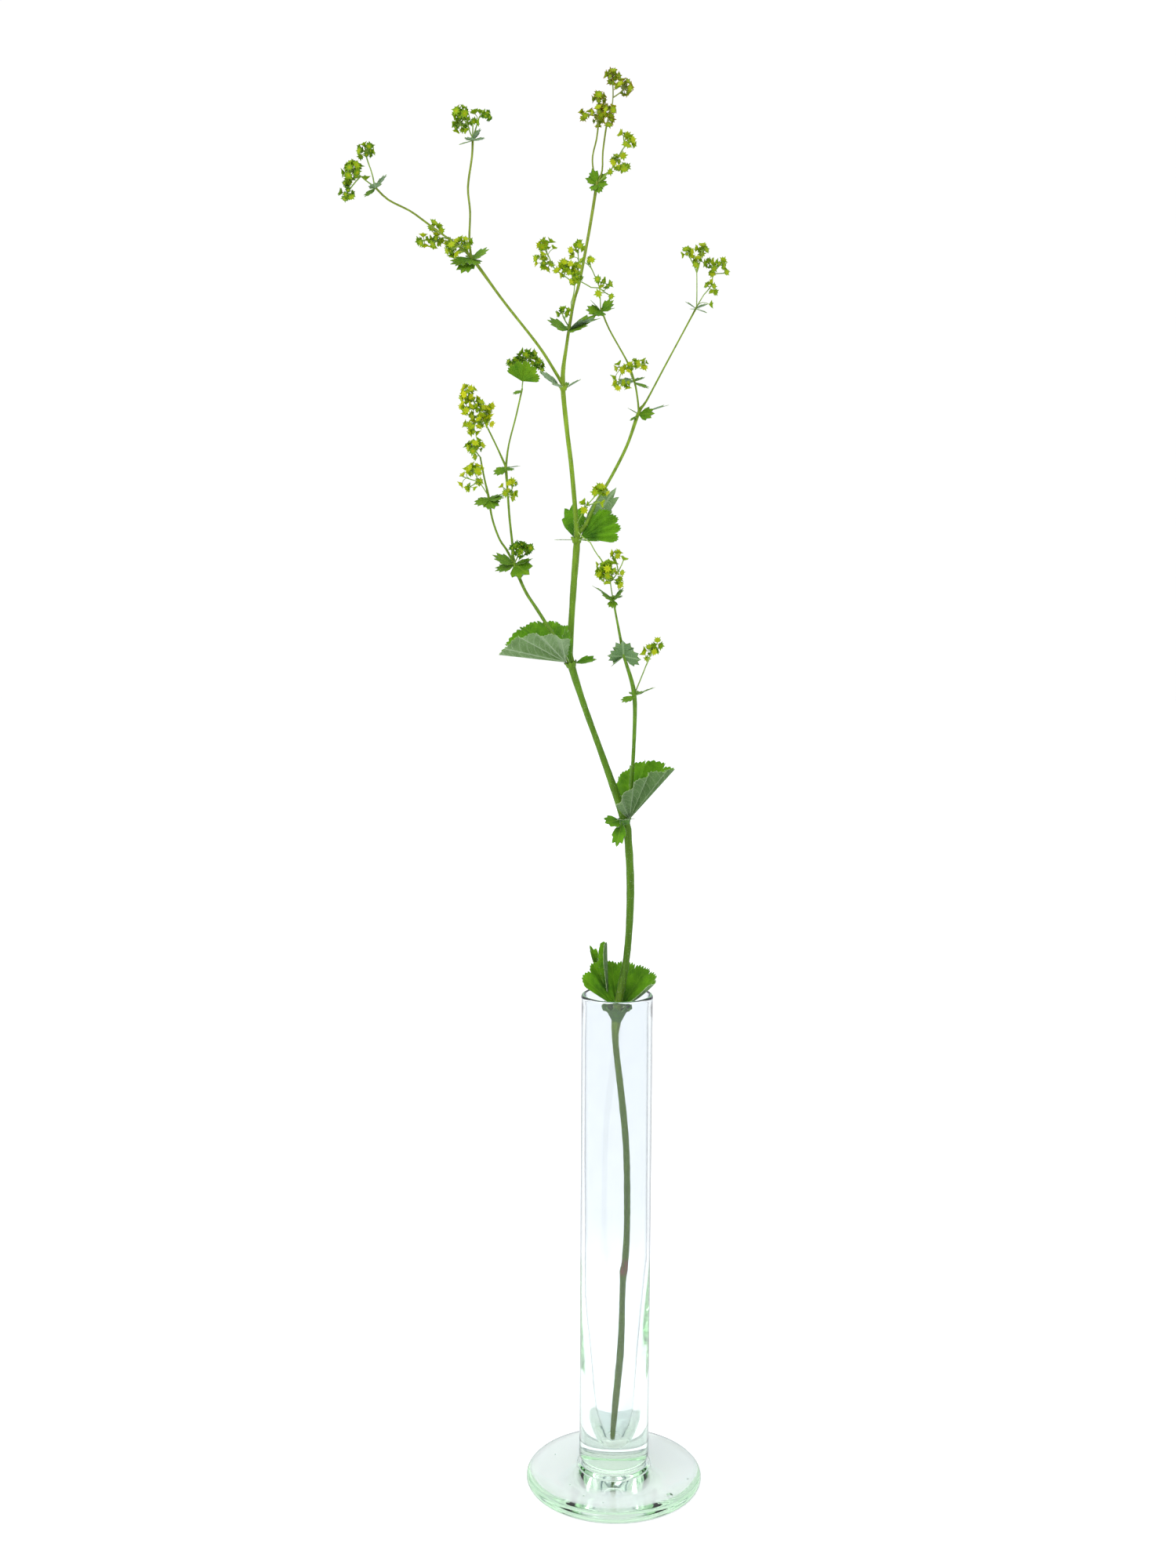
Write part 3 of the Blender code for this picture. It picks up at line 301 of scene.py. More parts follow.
@dataclass(frozen=True)
class LivingLeaf(Finish):
    """Living leaf: a fan of main veins with side veins between, over a finely netted surface.

    The UV map's U counts the lobes and V runs from the base to the margin.
    """

    face: Face
    dark: str
    light: str
    vein: str
    sheen: float

    def make(self) -> Material:
        """Makes the skin: main veins about 0.3 mm wide, side veins, and cells 0.8 mm across.

        Returns:
            The material.
        """
        material, tree, shader, place = self.begin(
            {"Sheen Weight": self.sheen, "Sheen Roughness": 0.5, "Specular IOR Level": 0.12})
        uv = add_node(tree, "ShaderNodeUVMap", uv_map="leaf").outputs[0]
        parts = add_node(tree, "ShaderNodeSeparateXYZ", {0: uv})
        lobe = add_node(tree, "ShaderNodeMath", {0: parts.outputs["X"]}, operation="FRACT")
        shift = add_node(tree, "ShaderNodeMath", {0: lobe, 1: 0.5}, operation="SUBTRACT")
        aside = add_node(tree, "ShaderNodeMath", {0: shift}, operation="ABSOLUTE")
        width = add_node(tree, "ShaderNodeMath", {0: aside, 1: parts.outputs["Y"]},
                         operation="MULTIPLY")
        main = add_node(tree, "ShaderNodeMapRange",
                        {"Value": width, "From Min": 0.035, "From Max": 0.008},
                        interpolation_type="SMOOTHSTEP")
        slope = add_node(tree, "ShaderNodeMath", {0: aside, 1: 3.4}, operation="MULTIPLY")
        climb = add_node(tree, "ShaderNodeMath", {0: parts.outputs["Y"], 1: 7.0},
                         operation="MULTIPLY")
        step = add_node(tree, "ShaderNodeMath", {0: climb, 1: slope}, operation="SUBTRACT")
        side = add_node(tree, "ShaderNodeMath", {0: step, 1: 0.5}, operation="PINGPONG")
        lines = add_node(tree, "ShaderNodeMapRange",
                         {"Value": side, "From Min": 0.12, "From Max": 0.02, "To Max": 0.6},
                         interpolation_type="SMOOTHSTEP")
        veins = add_node(tree, "ShaderNodeMath", {0: main, 1: lines}, operation="MAXIMUM")
        net = add_node(tree, "ShaderNodeTexVoronoi", {"Vector": place, "Scale": repeats(0.8)},
                       feature="DISTANCE_TO_EDGE")
        cell = add_node(tree, "ShaderNodeMapRange", {"Value": net, "From Max": 0.18})
        patch = add_node(tree, "ShaderNodeTexNoise",
                         {"Vector": place, "Scale": repeats(6.25), "Detail": 3.0})
        grain = add_node(tree, "ShaderNodeMath", {0: cell, 1: 0.12, 2: patch},
                         operation="MULTIPLY_ADD")
        reach = add_node(tree, "ShaderNodeMath", {0: parts.outputs["Y"], 1: 0.35, 2: grain},
                         operation="MULTIPLY_ADD")
        share = add_node(tree, "ShaderNodeMapRange",
                         {"Value": reach, "From Min": 0.46, "From Max": 1.04})
        blade = add_node(tree, "ShaderNodeMix",
                         {0: share, 6: linear(self.dark), 7: linear(self.light)}, data_type="RGBA")
        drawn = add_node(tree, "ShaderNodeMath",
                         {0: veins, 1: 0.7 if self.face is Face.UNDER else 0.45},
                         operation="MULTIPLY")
        coloured = add_node(tree, "ShaderNodeMix",
                            {0: drawn, 6: blade.outputs[2], 7: linear(self.vein)},
                            data_type="RGBA")
        sign = 1.0 if self.face is Face.UNDER else -1.0
        raised = add_node(tree, "ShaderNodeMath", {0: veins, 1: sign, 2: cell},
                          operation="MULTIPLY_ADD")
        self.dress(tree, shader, coloured.outputs[2], raised, 0.6, 0.18)
        return material


@dataclass(frozen=True)
class LeafEdge(Finish):
    """Leaf margin: pale, because silky hairs fringe it."""

    green: str
    silver: str

    def make(self) -> Material:
        """Makes the margin, mottled in patches 1 mm long.

        Returns:
            The material.
        """
        material, tree, shader, place = self.begin()
        mottle = add_node(tree, "ShaderNodeTexNoise",
                          {"Vector": place, "Scale": repeats(1.0), "Detail": 2.0})
        colour = fill_ramp(add_node(tree, "ShaderNodeValToRGB", {0: mottle}),
                           ((0.35, self.green), (0.65, self.silver)))
        self.dress(tree, shader, colour.outputs[0], mottle, 0.4, 0.08)
        return material


@dataclass(frozen=True)
class LivingFlower(Finish):
    """Alchemilla flower: yellow-green sepals round a yellower cup, some with rusty tips.

    The attributes petal, tone and rust say how far out a point is, how yellow its flower
    is and how rusty its tips are.
    """

    green: str = "#3f700a"
    middle: str = "#7c9f0c"
    yellow: str = "#bcc010"
    cup: str = "#a2a010"
    rust: str = "#a85a1c"

    def make(self) -> Material:
        """Makes the sepals, toned by flower, with a darker throat and a grain 0.5 mm across.

        Returns:
            The material.
        """
        material, tree, shader, place = self.begin({"Specular IOR Level": 0.12})
        petal, ripeness, rust = (
            add_node(tree, "ShaderNodeAttribute", attribute_name=name).outputs["Fac"]
            for name in ("petal", "tone", "rust"))
        grain = add_node(tree, "ShaderNodeTexNoise",
                         {"Vector": place, "Scale": repeats(0.5), "Detail": 2.0})
        wide = add_node(tree, "ShaderNodeMath", {0: grain, 1: 0.5}, operation="SUBTRACT")
        tone = add_node(tree, "ShaderNodeMath", {0: wide, 1: 0.7, 2: ripeness},
                        operation="MULTIPLY_ADD")
        colour = fill_ramp(add_node(tree, "ShaderNodeValToRGB", {0: tone}),
                           ((0.0, self.green), (0.5, self.middle), (1.0, self.yellow)))
        inner = add_node(tree, "ShaderNodeMapRange",
                         {"Value": petal, "From Min": 0.45, "From Max": 0.1, "To Max": 0.8})
        throat = add_node(tree, "ShaderNodeMix", {0: inner, 6: colour, 7: linear(self.cup)},
                          data_type="RGBA")
        outer = add_node(tree, "ShaderNodeMapRange",
                         {"Value": petal, "From Min": 0.5, "From Max": 1.0})
        worn = add_node(tree, "ShaderNodeMath", {0: outer, 1: rust}, operation="MULTIPLY")
        final = add_node(tree, "ShaderNodeMix",
                         {0: worn, 6: throat.outputs[2], 7: linear(self.rust)}, data_type="RGBA")
        self.dress(tree, shader, final.outputs[2], grain, 0.4, 0.1)
        return material


@dataclass(frozen=True)
class FlowerStalk(Finish):
    """Flower stalk: yellow-green, turning brown-red where its flowers are rusty."""

    green: str = "#6f9424"
    pale: str = "#8dab38"
    red: str = "#6a4c1c"

    def make(self) -> Material:
        """Makes the stalk's skin, mottled in patches 2 mm long.

        Returns:
            The material.
        """
        material, tree, shader, place = self.begin({"Sheen Weight": 0.2})
        rust = add_node(tree, "ShaderNodeAttribute", attribute_name="rust").outputs["Fac"]
        patch = add_node(tree, "ShaderNodeTexNoise",
                         {"Vector": place, "Scale": repeats(2.0), "Detail": 2.0})
        colour = fill_ramp(add_node(tree, "ShaderNodeValToRGB", {0: patch}),
                           ((0.35, self.green), (0.7, self.pale)))
        worn = add_node(tree, "ShaderNodeMath", {0: rust, 1: 0.6}, operation="MULTIPLY")
        final = add_node(tree, "ShaderNodeMix", {0: worn, 6: colour, 7: linear(self.red)},
                         data_type="RGBA")
        self.dress(tree, shader, final.outputs[2], patch, 0.4, 0.08)
        return material


@dataclass(frozen=True)
class SilkyHair(Finish):
    """Silky plant hair: nearly white, so that it reads as a grey bloom on the green."""

    root: str = "#b9c79c"
    tip: str = "#eef2e4"

    def make(self) -> Material:
        """Makes the hair, varied in patches 3 mm across.

        Returns:
            The material.
        """
        material, tree, shader, place = self.begin({"Sheen Weight": 0.3})
        patch = add_node(tree, "ShaderNodeTexNoise", {"Vector": place, "Scale": repeats(3.03)})
        colour = fill_ramp(add_node(tree, "ShaderNodeValToRGB", {0: patch}),
                           ((0.35, self.root), (0.6, self.tip)))
        tree.links.new(colour.outputs[0], shader.inputs["Base Color"])
        return material


@dataclass(frozen=True)
class WhitePaper(Finish):
    """Matt white paper over a lit table, for the floor; its glow keeps thick glass bright.

    Seen through the glass or mirrored in it, the paper is painted darker from near to far,
    down to the share through: painted shade in its reflections, so that the tube stands out
    from it.
    """

    light: str = "#fbfbfb"
    shade: str = "#f6f6f6"
    glow: float = 0.38
    through: float = 0.8
    near: float = 120.0
    far: float = 400.0

    def make(self) -> Material:
        """Makes the paper, with a faint cloudiness 60 mm across.

        Returns:
            The material.
        """
        material, tree, shader, place = self.begin({"Emission Strength": self.glow})
        cloud = add_node(tree, "ShaderNodeTexNoise", {"Vector": place, "Scale": repeats(62.5)})
        colour = fill_ramp(add_node(tree, "ShaderNodeValToRGB", {0: cloud}),
                           ((0.3, self.shade), (0.7, self.light)))
        away = add_node(tree, "ShaderNodeVectorMath", {0: place}, operation="LENGTH")
        far = add_node(tree, "ShaderNodeMapRange",
                       {"Value": away.outputs["Value"], "From Min": mm(self.near),
                        "From Max": mm(self.far), "To Max": 1.0 - self.through},
                       interpolation_type="SMOOTHSTEP")
        # Painted shade in reflections: glossy rays see the paper darker away from the vase
        path = add_node(tree, "ShaderNodeLightPath")
        reflection_painted_shade = add_node(tree, "ShaderNodeMath", {0: far, 1: path.outputs["Is Glossy Ray"]},
                          operation="MULTIPLY")
        seen = add_node(tree, "ShaderNodeMix", {0: reflection_painted_shade, 6: colour, 7: (0.0, 0.0, 0.0, 1.0)},
                        data_type="RGBA")
        tree.links.new(seen.outputs[2], shader.inputs["Base Color"])
        tree.links.new(seen.outputs[2], shader.inputs["Emission Color"])
        return material


# Meshes

@dataclass
class Shell:
    """Points and faces of a piece while it is built, with a finish and a UV for each face."""

    points: list[Vector] = field(default_factory=list)
    faces: list[tuple[int, ...]] = field(default_factory=list)
    finishes: list[int] = field(default_factory=list)
    charts: list[tuple[Point, ...]] = field(default_factory=list)

    def add(self, corners: tuple[int, ...], finish: int = 0,
            chart: tuple[Point, ...] | None = None) -> None:
        """Adds a face.

        Args:
            corners: the numbers of its points.
            finish: the number of its material.
            chart: its corners' places in the UV map.
        """
        self.faces.append(corners)
        self.finishes.append(finish)
        self.charts.append(chart or ((0.0, 0.0),) * len(corners))

    def bridge(self, low: int, high: int, sides: int, finish: int = 0) -> None:
        """Joins two rings of points by a band of faces.

        Args:
            low: the number of the first ring's first point.
            high: the number of the second ring's first point.
            sides: how many points each has.
            finish: the number of the band's material.
        """
        for corner in range(sides):
            after = (corner + 1) % sides
            self.add((low + corner, low + after, high + after, high + corner), finish)

    def build(self, name: str, materials: list[Material]) -> Object:
        """Makes the object.

        Args:
            name: the piece's name.
            materials: its materials in order.

        Returns:
            The object, smooth but for its sharp edges.
        """
        mesh = bpy.data.meshes.new(name)
        mesh.from_pydata([tuple(point) for point in self.points], [], self.faces)
        for material in materials:
            mesh.materials.append(material)
        mesh.polygons.foreach_set("material_index", self.finishes)
        chart = mesh.uv_layers.new(name="leaf")
        chart.data.foreach_set("uv", [v for face in self.charts for uv in face for v in uv])
        mesh.shade_smooth()
        mesh.set_sharp_from_angle(angle=SHARP)
        return link(name, mesh)


def link(name: str, mesh: Mesh) -> Object:
    """A mesh as an object of the scene, at the origin."""
    piece = bpy.data.objects.new(name, mesh)
    bpy.context.scene.collection.objects.link(piece)
    return piece


def set_values(mesh: Mesh, name: str, values: list[float]) -> None:
    """Gives each point of a mesh its value of an attribute."""
    mesh.attributes.new(name, "FLOAT", "POINT").data.foreach_set("value", values)


def circle(radius: float, height: float, sides: int, x: float = 0.0,
           y: float = 0.0) -> list[Vector]:
    """Points round a level circle, from sizes in millimetres.

    Args:
        radius: its radius.
        height: its height.
        sides: how many points it has.
        x: its middle's place to the right.
        y: its middle's place away from the viewer.

    Returns:
        The points in metres.
    """
    angles = [math.tau * corner / sides for corner in range(sides)]
    return [spot((x + radius * math.cos(angle), y + radius * math.sin(angle), height))
            for angle in angles]


def smooth_line(points: tuple[Point, ...], step: float) -> list[Vector]:
    """Stations along a smooth curve through points.

    Args:
        points: x, y, z and radius of each.
        step: the longest distance between stations.

    Returns:
        The stations, with four values each.
    """
    rows = [Vector(point) for point in points]
    result = []
    for index in range(len(rows) - 1):
        before, start = rows[max(index - 1, 0)], rows[index]
        end, after = rows[index + 1], rows[min(index + 2, len(rows) - 1)]
        count = max(1, math.ceil((end.to_3d() - start.to_3d()).length / step))
        for part in range(count):
            t = part / count
            result.append(0.5 * (
                2 * start + (end - before) * t
                + (2 * before - 5 * start + 4 * end - after) * t ** 2
                + (3 * start - before - 3 * end + after) * t ** 3))
    result.append(rows[-1])
    return result


# Geometry Nodes

def new_tree(name: str, sockets: dict[str, tuple[str, object]]) -> tuple[
        NodeTree, bpy.types.NodeOutputs, NodeSocket]:
    """A Geometry Nodes tree with a geometry input and output and named inputs.

    Args:
        name: the tree's name.
        sockets: socket type and default of each named input.

    Returns:
        The tree, the sockets of its inputs by name, and the socket that takes its result.
    """
    tree = bpy.data.node_groups.new(name, "GeometryNodeTree")
    tree.interface.new_socket("Geometry", in_out="INPUT", socket_type="NodeSocketGeometry")
    tree.interface.new_socket("Geometry", in_out="OUTPUT", socket_type="NodeSocketGeometry")
    for label, (kind, value) in sockets.items():
        socket = tree.interface.new_socket(label, in_out="INPUT", socket_type=kind)
        if value is not None:
            socket.default_value = value
    given, result = tree.nodes.new("NodeGroupInput"), tree.nodes.new("NodeGroupOutput")
    return tree, given.outputs, result.inputs[0]


def grow(base: Object, tree: NodeTree, values: dict[str, object]) -> Mesh:
    """Runs a tree on an object and keeps the result as a plain mesh.

    Args:
        base: the object with the points or surface that the tree reads; it is removed.
        tree: the Geometry Nodes tree.
        values: a value for each named input.

    Returns:
        The mesh.
    """
    modifier = base.modifiers.new(tree.name, "NODES")
    modifier.node_group = tree
    for item in tree.interface.items_tree:
        if item.item_type == "SOCKET" and item.in_out == "INPUT" and item.name in values:
            modifier[item.identifier] = values[item.name]
    graph = bpy.context.evaluated_depsgraph_get()
    mesh = bpy.data.meshes.new_from_object(base.evaluated_get(graph))
    base.modifiers.remove(modifier)
    bpy.data.objects.remove(base, do_unlink=True)
    return mesh


def tube_nodes(tree: NodeTree, lines: NodeSocket, sides: NodeSocket) -> NodeSocket:
    """Sweeps round tubes along lines, as thick as their radius attribute.

    Args:
        tree: the tree that gets the nodes.
        lines: the lines as a mesh of edges.
        sides: how many sides the tubes have.

    Returns:
        The tubes.
    """
    curves = add_node(tree, "GeometryNodeMeshToCurve", {"Mesh": lines})
    ring = add_node(tree, "GeometryNodeCurvePrimitiveCircle", {"Resolution": sides, "Radius": 1.0})
    radius = add_node(tree, "GeometryNodeInputNamedAttribute", {"Name": "radius"},
                      data_type="FLOAT")
    swept = add_node(tree, "GeometryNodeCurveToMesh",
                     {"Curve": curves, "Profile Curve": ring, "Scale": radius, "Fill Caps": True})
    return swept.outputs[0]


def tube_tree() -> NodeTree:
    """Makes the tree that turns lines into round stems.

    Returns:
        The tree.
    """
    tree, given, result = new_tree("swept stems", {
        "Sides": ("NodeSocketInt", 12), "Material": ("NodeSocketMaterial", None)})
    tubes = tube_nodes(tree, given["Geometry"], given["Sides"])
    whole = add_node(tree, "GeometryNodeRealizeInstances", {"Geometry": tubes})
    dressed = add_node(tree, "GeometryNodeSetMaterial",
                       {"Geometry": whole, "Material": given["Material"]})
    tree.links.new(dressed.outputs[0], result)
    return tree


def spray_tree() -> NodeTree:
    """Makes the tree that turns lines and marked points into stalks with flowers.

    Returns:
        The tree.
    """
    tree, given, result = new_tree("flower spray", {
        "Sides": ("NodeSocketInt", 5), "Flower": ("NodeSocketObject", None),
        "Flower Radius": ("NodeSocketFloat", mm(2.35)),
        "Stalk Material": ("NodeSocketMaterial", None),
        "Flower Material": ("NodeSocketMaterial", None)})
    stalks = tube_nodes(tree, given["Geometry"], given["Sides"])
    named = {}
    for name, kind in (("bloom_size", "FLOAT"), ("way", "FLOAT_VECTOR"), ("spin", "FLOAT")):
        named[name] = add_node(tree, "GeometryNodeInputNamedAttribute", {"Name": name},
                               data_type=kind).outputs[0]
    marked = add_node(tree, "FunctionNodeCompare", {0: named["bloom_size"], 1: 0.0},
                      operation="GREATER_THAN")
    spots = add_node(tree, "GeometryNodeMeshToPoints",
                     {"Mesh": given["Geometry"], "Selection": marked})
    faced = add_node(tree, "FunctionNodeAlignRotationToVector", {"Vector": named["way"]}, axis="Z")
    turn = add_node(tree, "FunctionNodeAxisAngleToRotation",
                    {"Axis": (0.0, 0.0, 1.0), "Angle": named["spin"]})
    turned = add_node(tree, "FunctionNodeRotateRotation", {"Rotation": faced, "Rotate By": turn},
                      rotation_space="LOCAL")
    size = add_node(tree, "ShaderNodeMath", {0: named["bloom_size"], 1: given["Flower Radius"]},
                    operation="MULTIPLY")
    flower = add_node(tree, "GeometryNodeObjectInfo", {"Object": given["Flower"]})
    blooms = add_node(tree, "GeometryNodeInstanceOnPoints",
                      {"Points": spots, "Instance": flower.outputs["Geometry"], "Rotation": turned,
                       "Scale": size})
    joined = add_node(tree, "GeometryNodeJoinGeometry", {0: stalks})
    tree.links.new(blooms.outputs[0], joined.inputs[0])
    whole = add_node(tree, "GeometryNodeRealizeInstances", {"Geometry": joined})
    bloom = add_node(tree, "GeometryNodeInputNamedAttribute", {"Name": "bloom"}, data_type="FLOAT")
    plain = add_node(tree, "GeometryNodeSetMaterial",
                     {"Geometry": whole, "Material": given["Stalk Material"]})
    part = add_node(tree, "FunctionNodeCompare", {0: bloom, 1: 0.5}, operation="GREATER_THAN")
    dressed = add_node(tree, "GeometryNodeSetMaterial",
                       {"Geometry": plain, "Selection": part,
                        "Material": given["Flower Material"]})
    tree.links.new(dressed.outputs[0], result)
    return tree


def hair_tree() -> NodeTree:
    """Makes the tree that grows fine hairs on a surface.

    Returns:
        The tree.
    """
    tree, given, result = new_tree("silky hairs", {
        "Hairs Per Square Metre": ("NodeSocketFloat", 1.0e6), "Hair": ("NodeSocketObject", None),
        "Shortest": ("NodeSocketFloat", mm(0.4)), "Longest": ("NodeSocketFloat", mm(1.0)),
        "Lean": ("NodeSocketFloat", 0.8), "Seed": ("NodeSocketInt", 4),
        "Material": ("NodeSocketMaterial", None)})
    roots = add_node(tree, "GeometryNodeDistributePointsOnFaces",
                     {"Mesh": given["Geometry"], "Density": given["Hairs Per Square Metre"],
                      "Seed": given["Seed"]})
    drift = add_node(tree, "FunctionNodeRandomValue",
                     {0: (-1.0, -1.0, -1.0), 1: (1.0, 1.0, 1.0), "Seed": given["Seed"]},
                     data_type="FLOAT_VECTOR")
    leaned = add_node(tree, "ShaderNodeVectorMath", {0: drift, "Scale": given["Lean"]},
                      operation="SCALE")
    way = add_node(tree, "ShaderNodeVectorMath", {0: roots.outputs["Normal"], 1: leaned},
                   operation="ADD")
    faced = add_node(tree, "FunctionNodeAlignRotationToVector", {"Vector": way}, axis="Z")
    length = add_node(tree, "FunctionNodeRandomValue",
                      {2: given["Shortest"], 3: given["Longest"], "Seed": given["Seed"]},
                      data_type="FLOAT")
    hair = add_node(tree, "GeometryNodeObjectInfo", {"Object": given["Hair"]})
    hairs = add_node(tree, "GeometryNodeInstanceOnPoints",
                     {"Points": roots, "Instance": hair.outputs["Geometry"], "Rotation": faced,
                      "Scale": length.outputs[1]})
    whole = add_node(tree, "GeometryNodeRealizeInstances", {"Geometry": hairs})
    dressed = add_node(tree, "GeometryNodeSetMaterial",
                       {"Geometry": whole, "Material": given["Material"]})
    tree.links.new(dressed.outputs[0], result)
    return tree


# The vase

@dataclass
class Vase:
    """The vase: a turned shell of clear glass with a thick base and bubbles in its foot."""

    height: float = 250.0
    tube_radius: float = 17.5
    wall: float = 1.9
    foot_radius: float = 44.0
    foot_edge: float = 5.0
    collar_radius: float = 18.0
    collar_level: float = 9.0
    groove_radius: float = 16.2
    cavity_floor: float = 20.0
    taper_top: float = 118.0
    # How far the bore is out of true, as a share of its radius, and how much more so low down
    waver: float = 0.004
    low_waver: float = 4.5
    sides: int = 96
    # Place and radius of each bubble in the foot, and how high a bubble is beside its width
    bubbles: tuple[Point, ...] = (
        (27.5, -23.5, 3.0, 1.6), (-21.5, -16.0, 3.2, 0.5), (-14.5, -25.5, 2.6, 0.45),
        (-5.0, -32.0, 3.4, 0.4), (37.0, -8.0, 2.8, 0.5), (12.0, 26.0, 3.0, 0.6),
        (-30.0, 14.0, 2.8, 0.5))
    bubble_height: float = 0.6
    bubble_rings: int = 8
    bubble_sides: int = 16

    def outside(self) -> tuple[Point, ...]:
        """The outer section, from under the foot up to the rim.

        Returns:
            Radius and height of each point.
        """
        foot, edge, collar, level = (
            self.foot_radius, self.foot_edge, self.collar_radius, self.collar_level)
        groove, tube, top = self.groove_radius, self.tube_radius, self.height
        straight = [(tube, height) for height in (
            level + 5.4, level + 12.0, 40.0, 80.0, 120.0, 160.0, 200.0, 230.0, top - 5.0,
            top - 2.4)]
        return (
            (0.0, 0.0), (14.0, 0.0), (30.0, 0.0), (foot - 1.6, 0.0), (foot - 0.8, 0.35),
            (foot - 0.3, 1.0), (foot, 1.8), (foot, 2.8), (foot - 0.35, 3.9),
            (foot - 1.5, edge), (foot - 4.0, edge + 0.2), (36.0, edge + 0.4),
            (30.0, edge + 0.6), (25.5, edge + 1.1), (22.0, level - 2.0), (19.8, level - 1.5),
            (collar + 0.6, level - 1.0), (collar + 0.5, level - 0.5),
            (collar - 0.1, level - 0.05), (collar - 0.7, level + 0.3),
            (groove + 0.25, level + 0.9), (groove, level + 1.6), (groove + 0.1, level + 2.3),
            (groove + 0.7, level + 3.2), (tube - 0.25, level + 4.3), *straight,
            (tube + 0.15, top - 1.7), (tube + 0.1, top - 1.0), (tube - 0.25, top - 0.35),
            (tube - 0.9, top))

    def inside(self) -> tuple[Point, ...]:
        """The section of the bore, from the rim down to its rounded bottom.

        Returns:
            Radius and height of each point.
        """
        bore, top, floor = self.tube_radius - self.wall, self.height, self.cavity_floor
        straight = [(bore, height) for height in (
            top - 1.4, 230.0, 200.0, 170.0, 145.0, 130.0, self.taper_top)]
        return (
            (bore + 0.45, top - 0.15), (bore + 0.1, top - 0.6), *straight,
            (15.1, 109.0), (14.5, 99.0), (13.5, 85.0), (12.3, 70.0), (11.0, 55.0), (9.6, 41.0),
            (8.3, 33.0), (6.6, 26.6), (5.2, 22.6), (3.2, 20.5), (1.5, floor - 0.1),
            (0.0, floor - 0.2))

    def uneven(self, angle: float, height: float, inner: bool) -> float:
        """How far hand work leaves the wall from its true round.

        Args:
            angle: the angle about the vase.
            height: the height in millimetres.
            inner: whether the point lies on the bore.

        Returns:
            The change of radius as a share of it.
        """
        if inner and height < self.height - 8:
            low = min(1.0, max(0.0, (self.taper_top + 20 - height) / 80))
            wave = math.sin(3 * angle + height / 19) + 0.6 * math.sin(5 * angle - height / 11)
            return self.waver * wave * (1 + self.low_waver * low)
        return 0.0

    def build(self, glass: Material) -> Object:
        """Turns the section, closes its poles and sets the bubbles.

        Args:
            glass: the material.

        Returns:
            The vase.
        """
        shell = Shell()
        rows = [(*row, False) for row in self.outside()] + [(*row, True) for row in self.inside()]
        starts = []
        for radius, height, inner in rows:
            starts.append(len(shell.points))
            if radius == 0:
                shell.points.append(spot((0, 0, height)))
                continue
            for corner in range(self.sides):
                angle = math.tau * corner / self.sides
                reach = radius * (1 + self.uneven(angle, height, inner))
                x, y = reach * math.cos(angle), reach * math.sin(angle)
                shell.points.append(spot((x, y, height)))
        for corner in range(self.sides):
            after = (corner + 1) % self.sides
            shell.add((starts[0], starts[1] + after, starts[1] + corner))
            shell.add((starts[-1], starts[-2] + corner, starts[-2] + after))
        for low, high in zip(starts[1:-2], starts[2:-1]):
            shell.bridge(low, high, self.sides)
        for bubble in self.bubbles:
            self.add_bubble(shell, bubble)
        return shell.build("vase_glass", [glass])

    def add_bubble(self, shell: Shell, bubble: Point) -> None:
        """Adds a hollow bubble, whose faces look into it.

        Args:
            shell: the shell that gets it.
            bubble: its middle and its radius.
        """
        x, y, z, radius = bubble
        rings, sides = self.bubble_rings, self.bubble_sides
        high = radius * self.bubble_height
        first = len(shell.points)
        shell.points.append(spot((x, y, z - high)))
        for ring in range(1, rings):
            lean = math.pi * ring / rings
            shell.points += circle(radius * math.sin(lean), z - high * math.cos(lean), sides, x, y)
        shell.points.append(spot((x, y, z + high)))
        last = len(shell.points) - 1
        for corner in range(sides):
            after = (corner + 1) % sides
            shell.add((first, first + 1 + corner, first + 1 + after))
            shell.add((last, last - sides + after, last - sides + corner))
        for low in range(first + 1, last - sides, sides):
            for corner in range(sides):
                after = (corner + 1) % sides
                shell.add((low + corner, low + sides + corner, low + sides + after, low + after))


# Leaves

# A blade starts at this share of its length, and its fold turns within this share of a half
BLADE_START = 0.012
FOLD_SHARE = 1 / 3


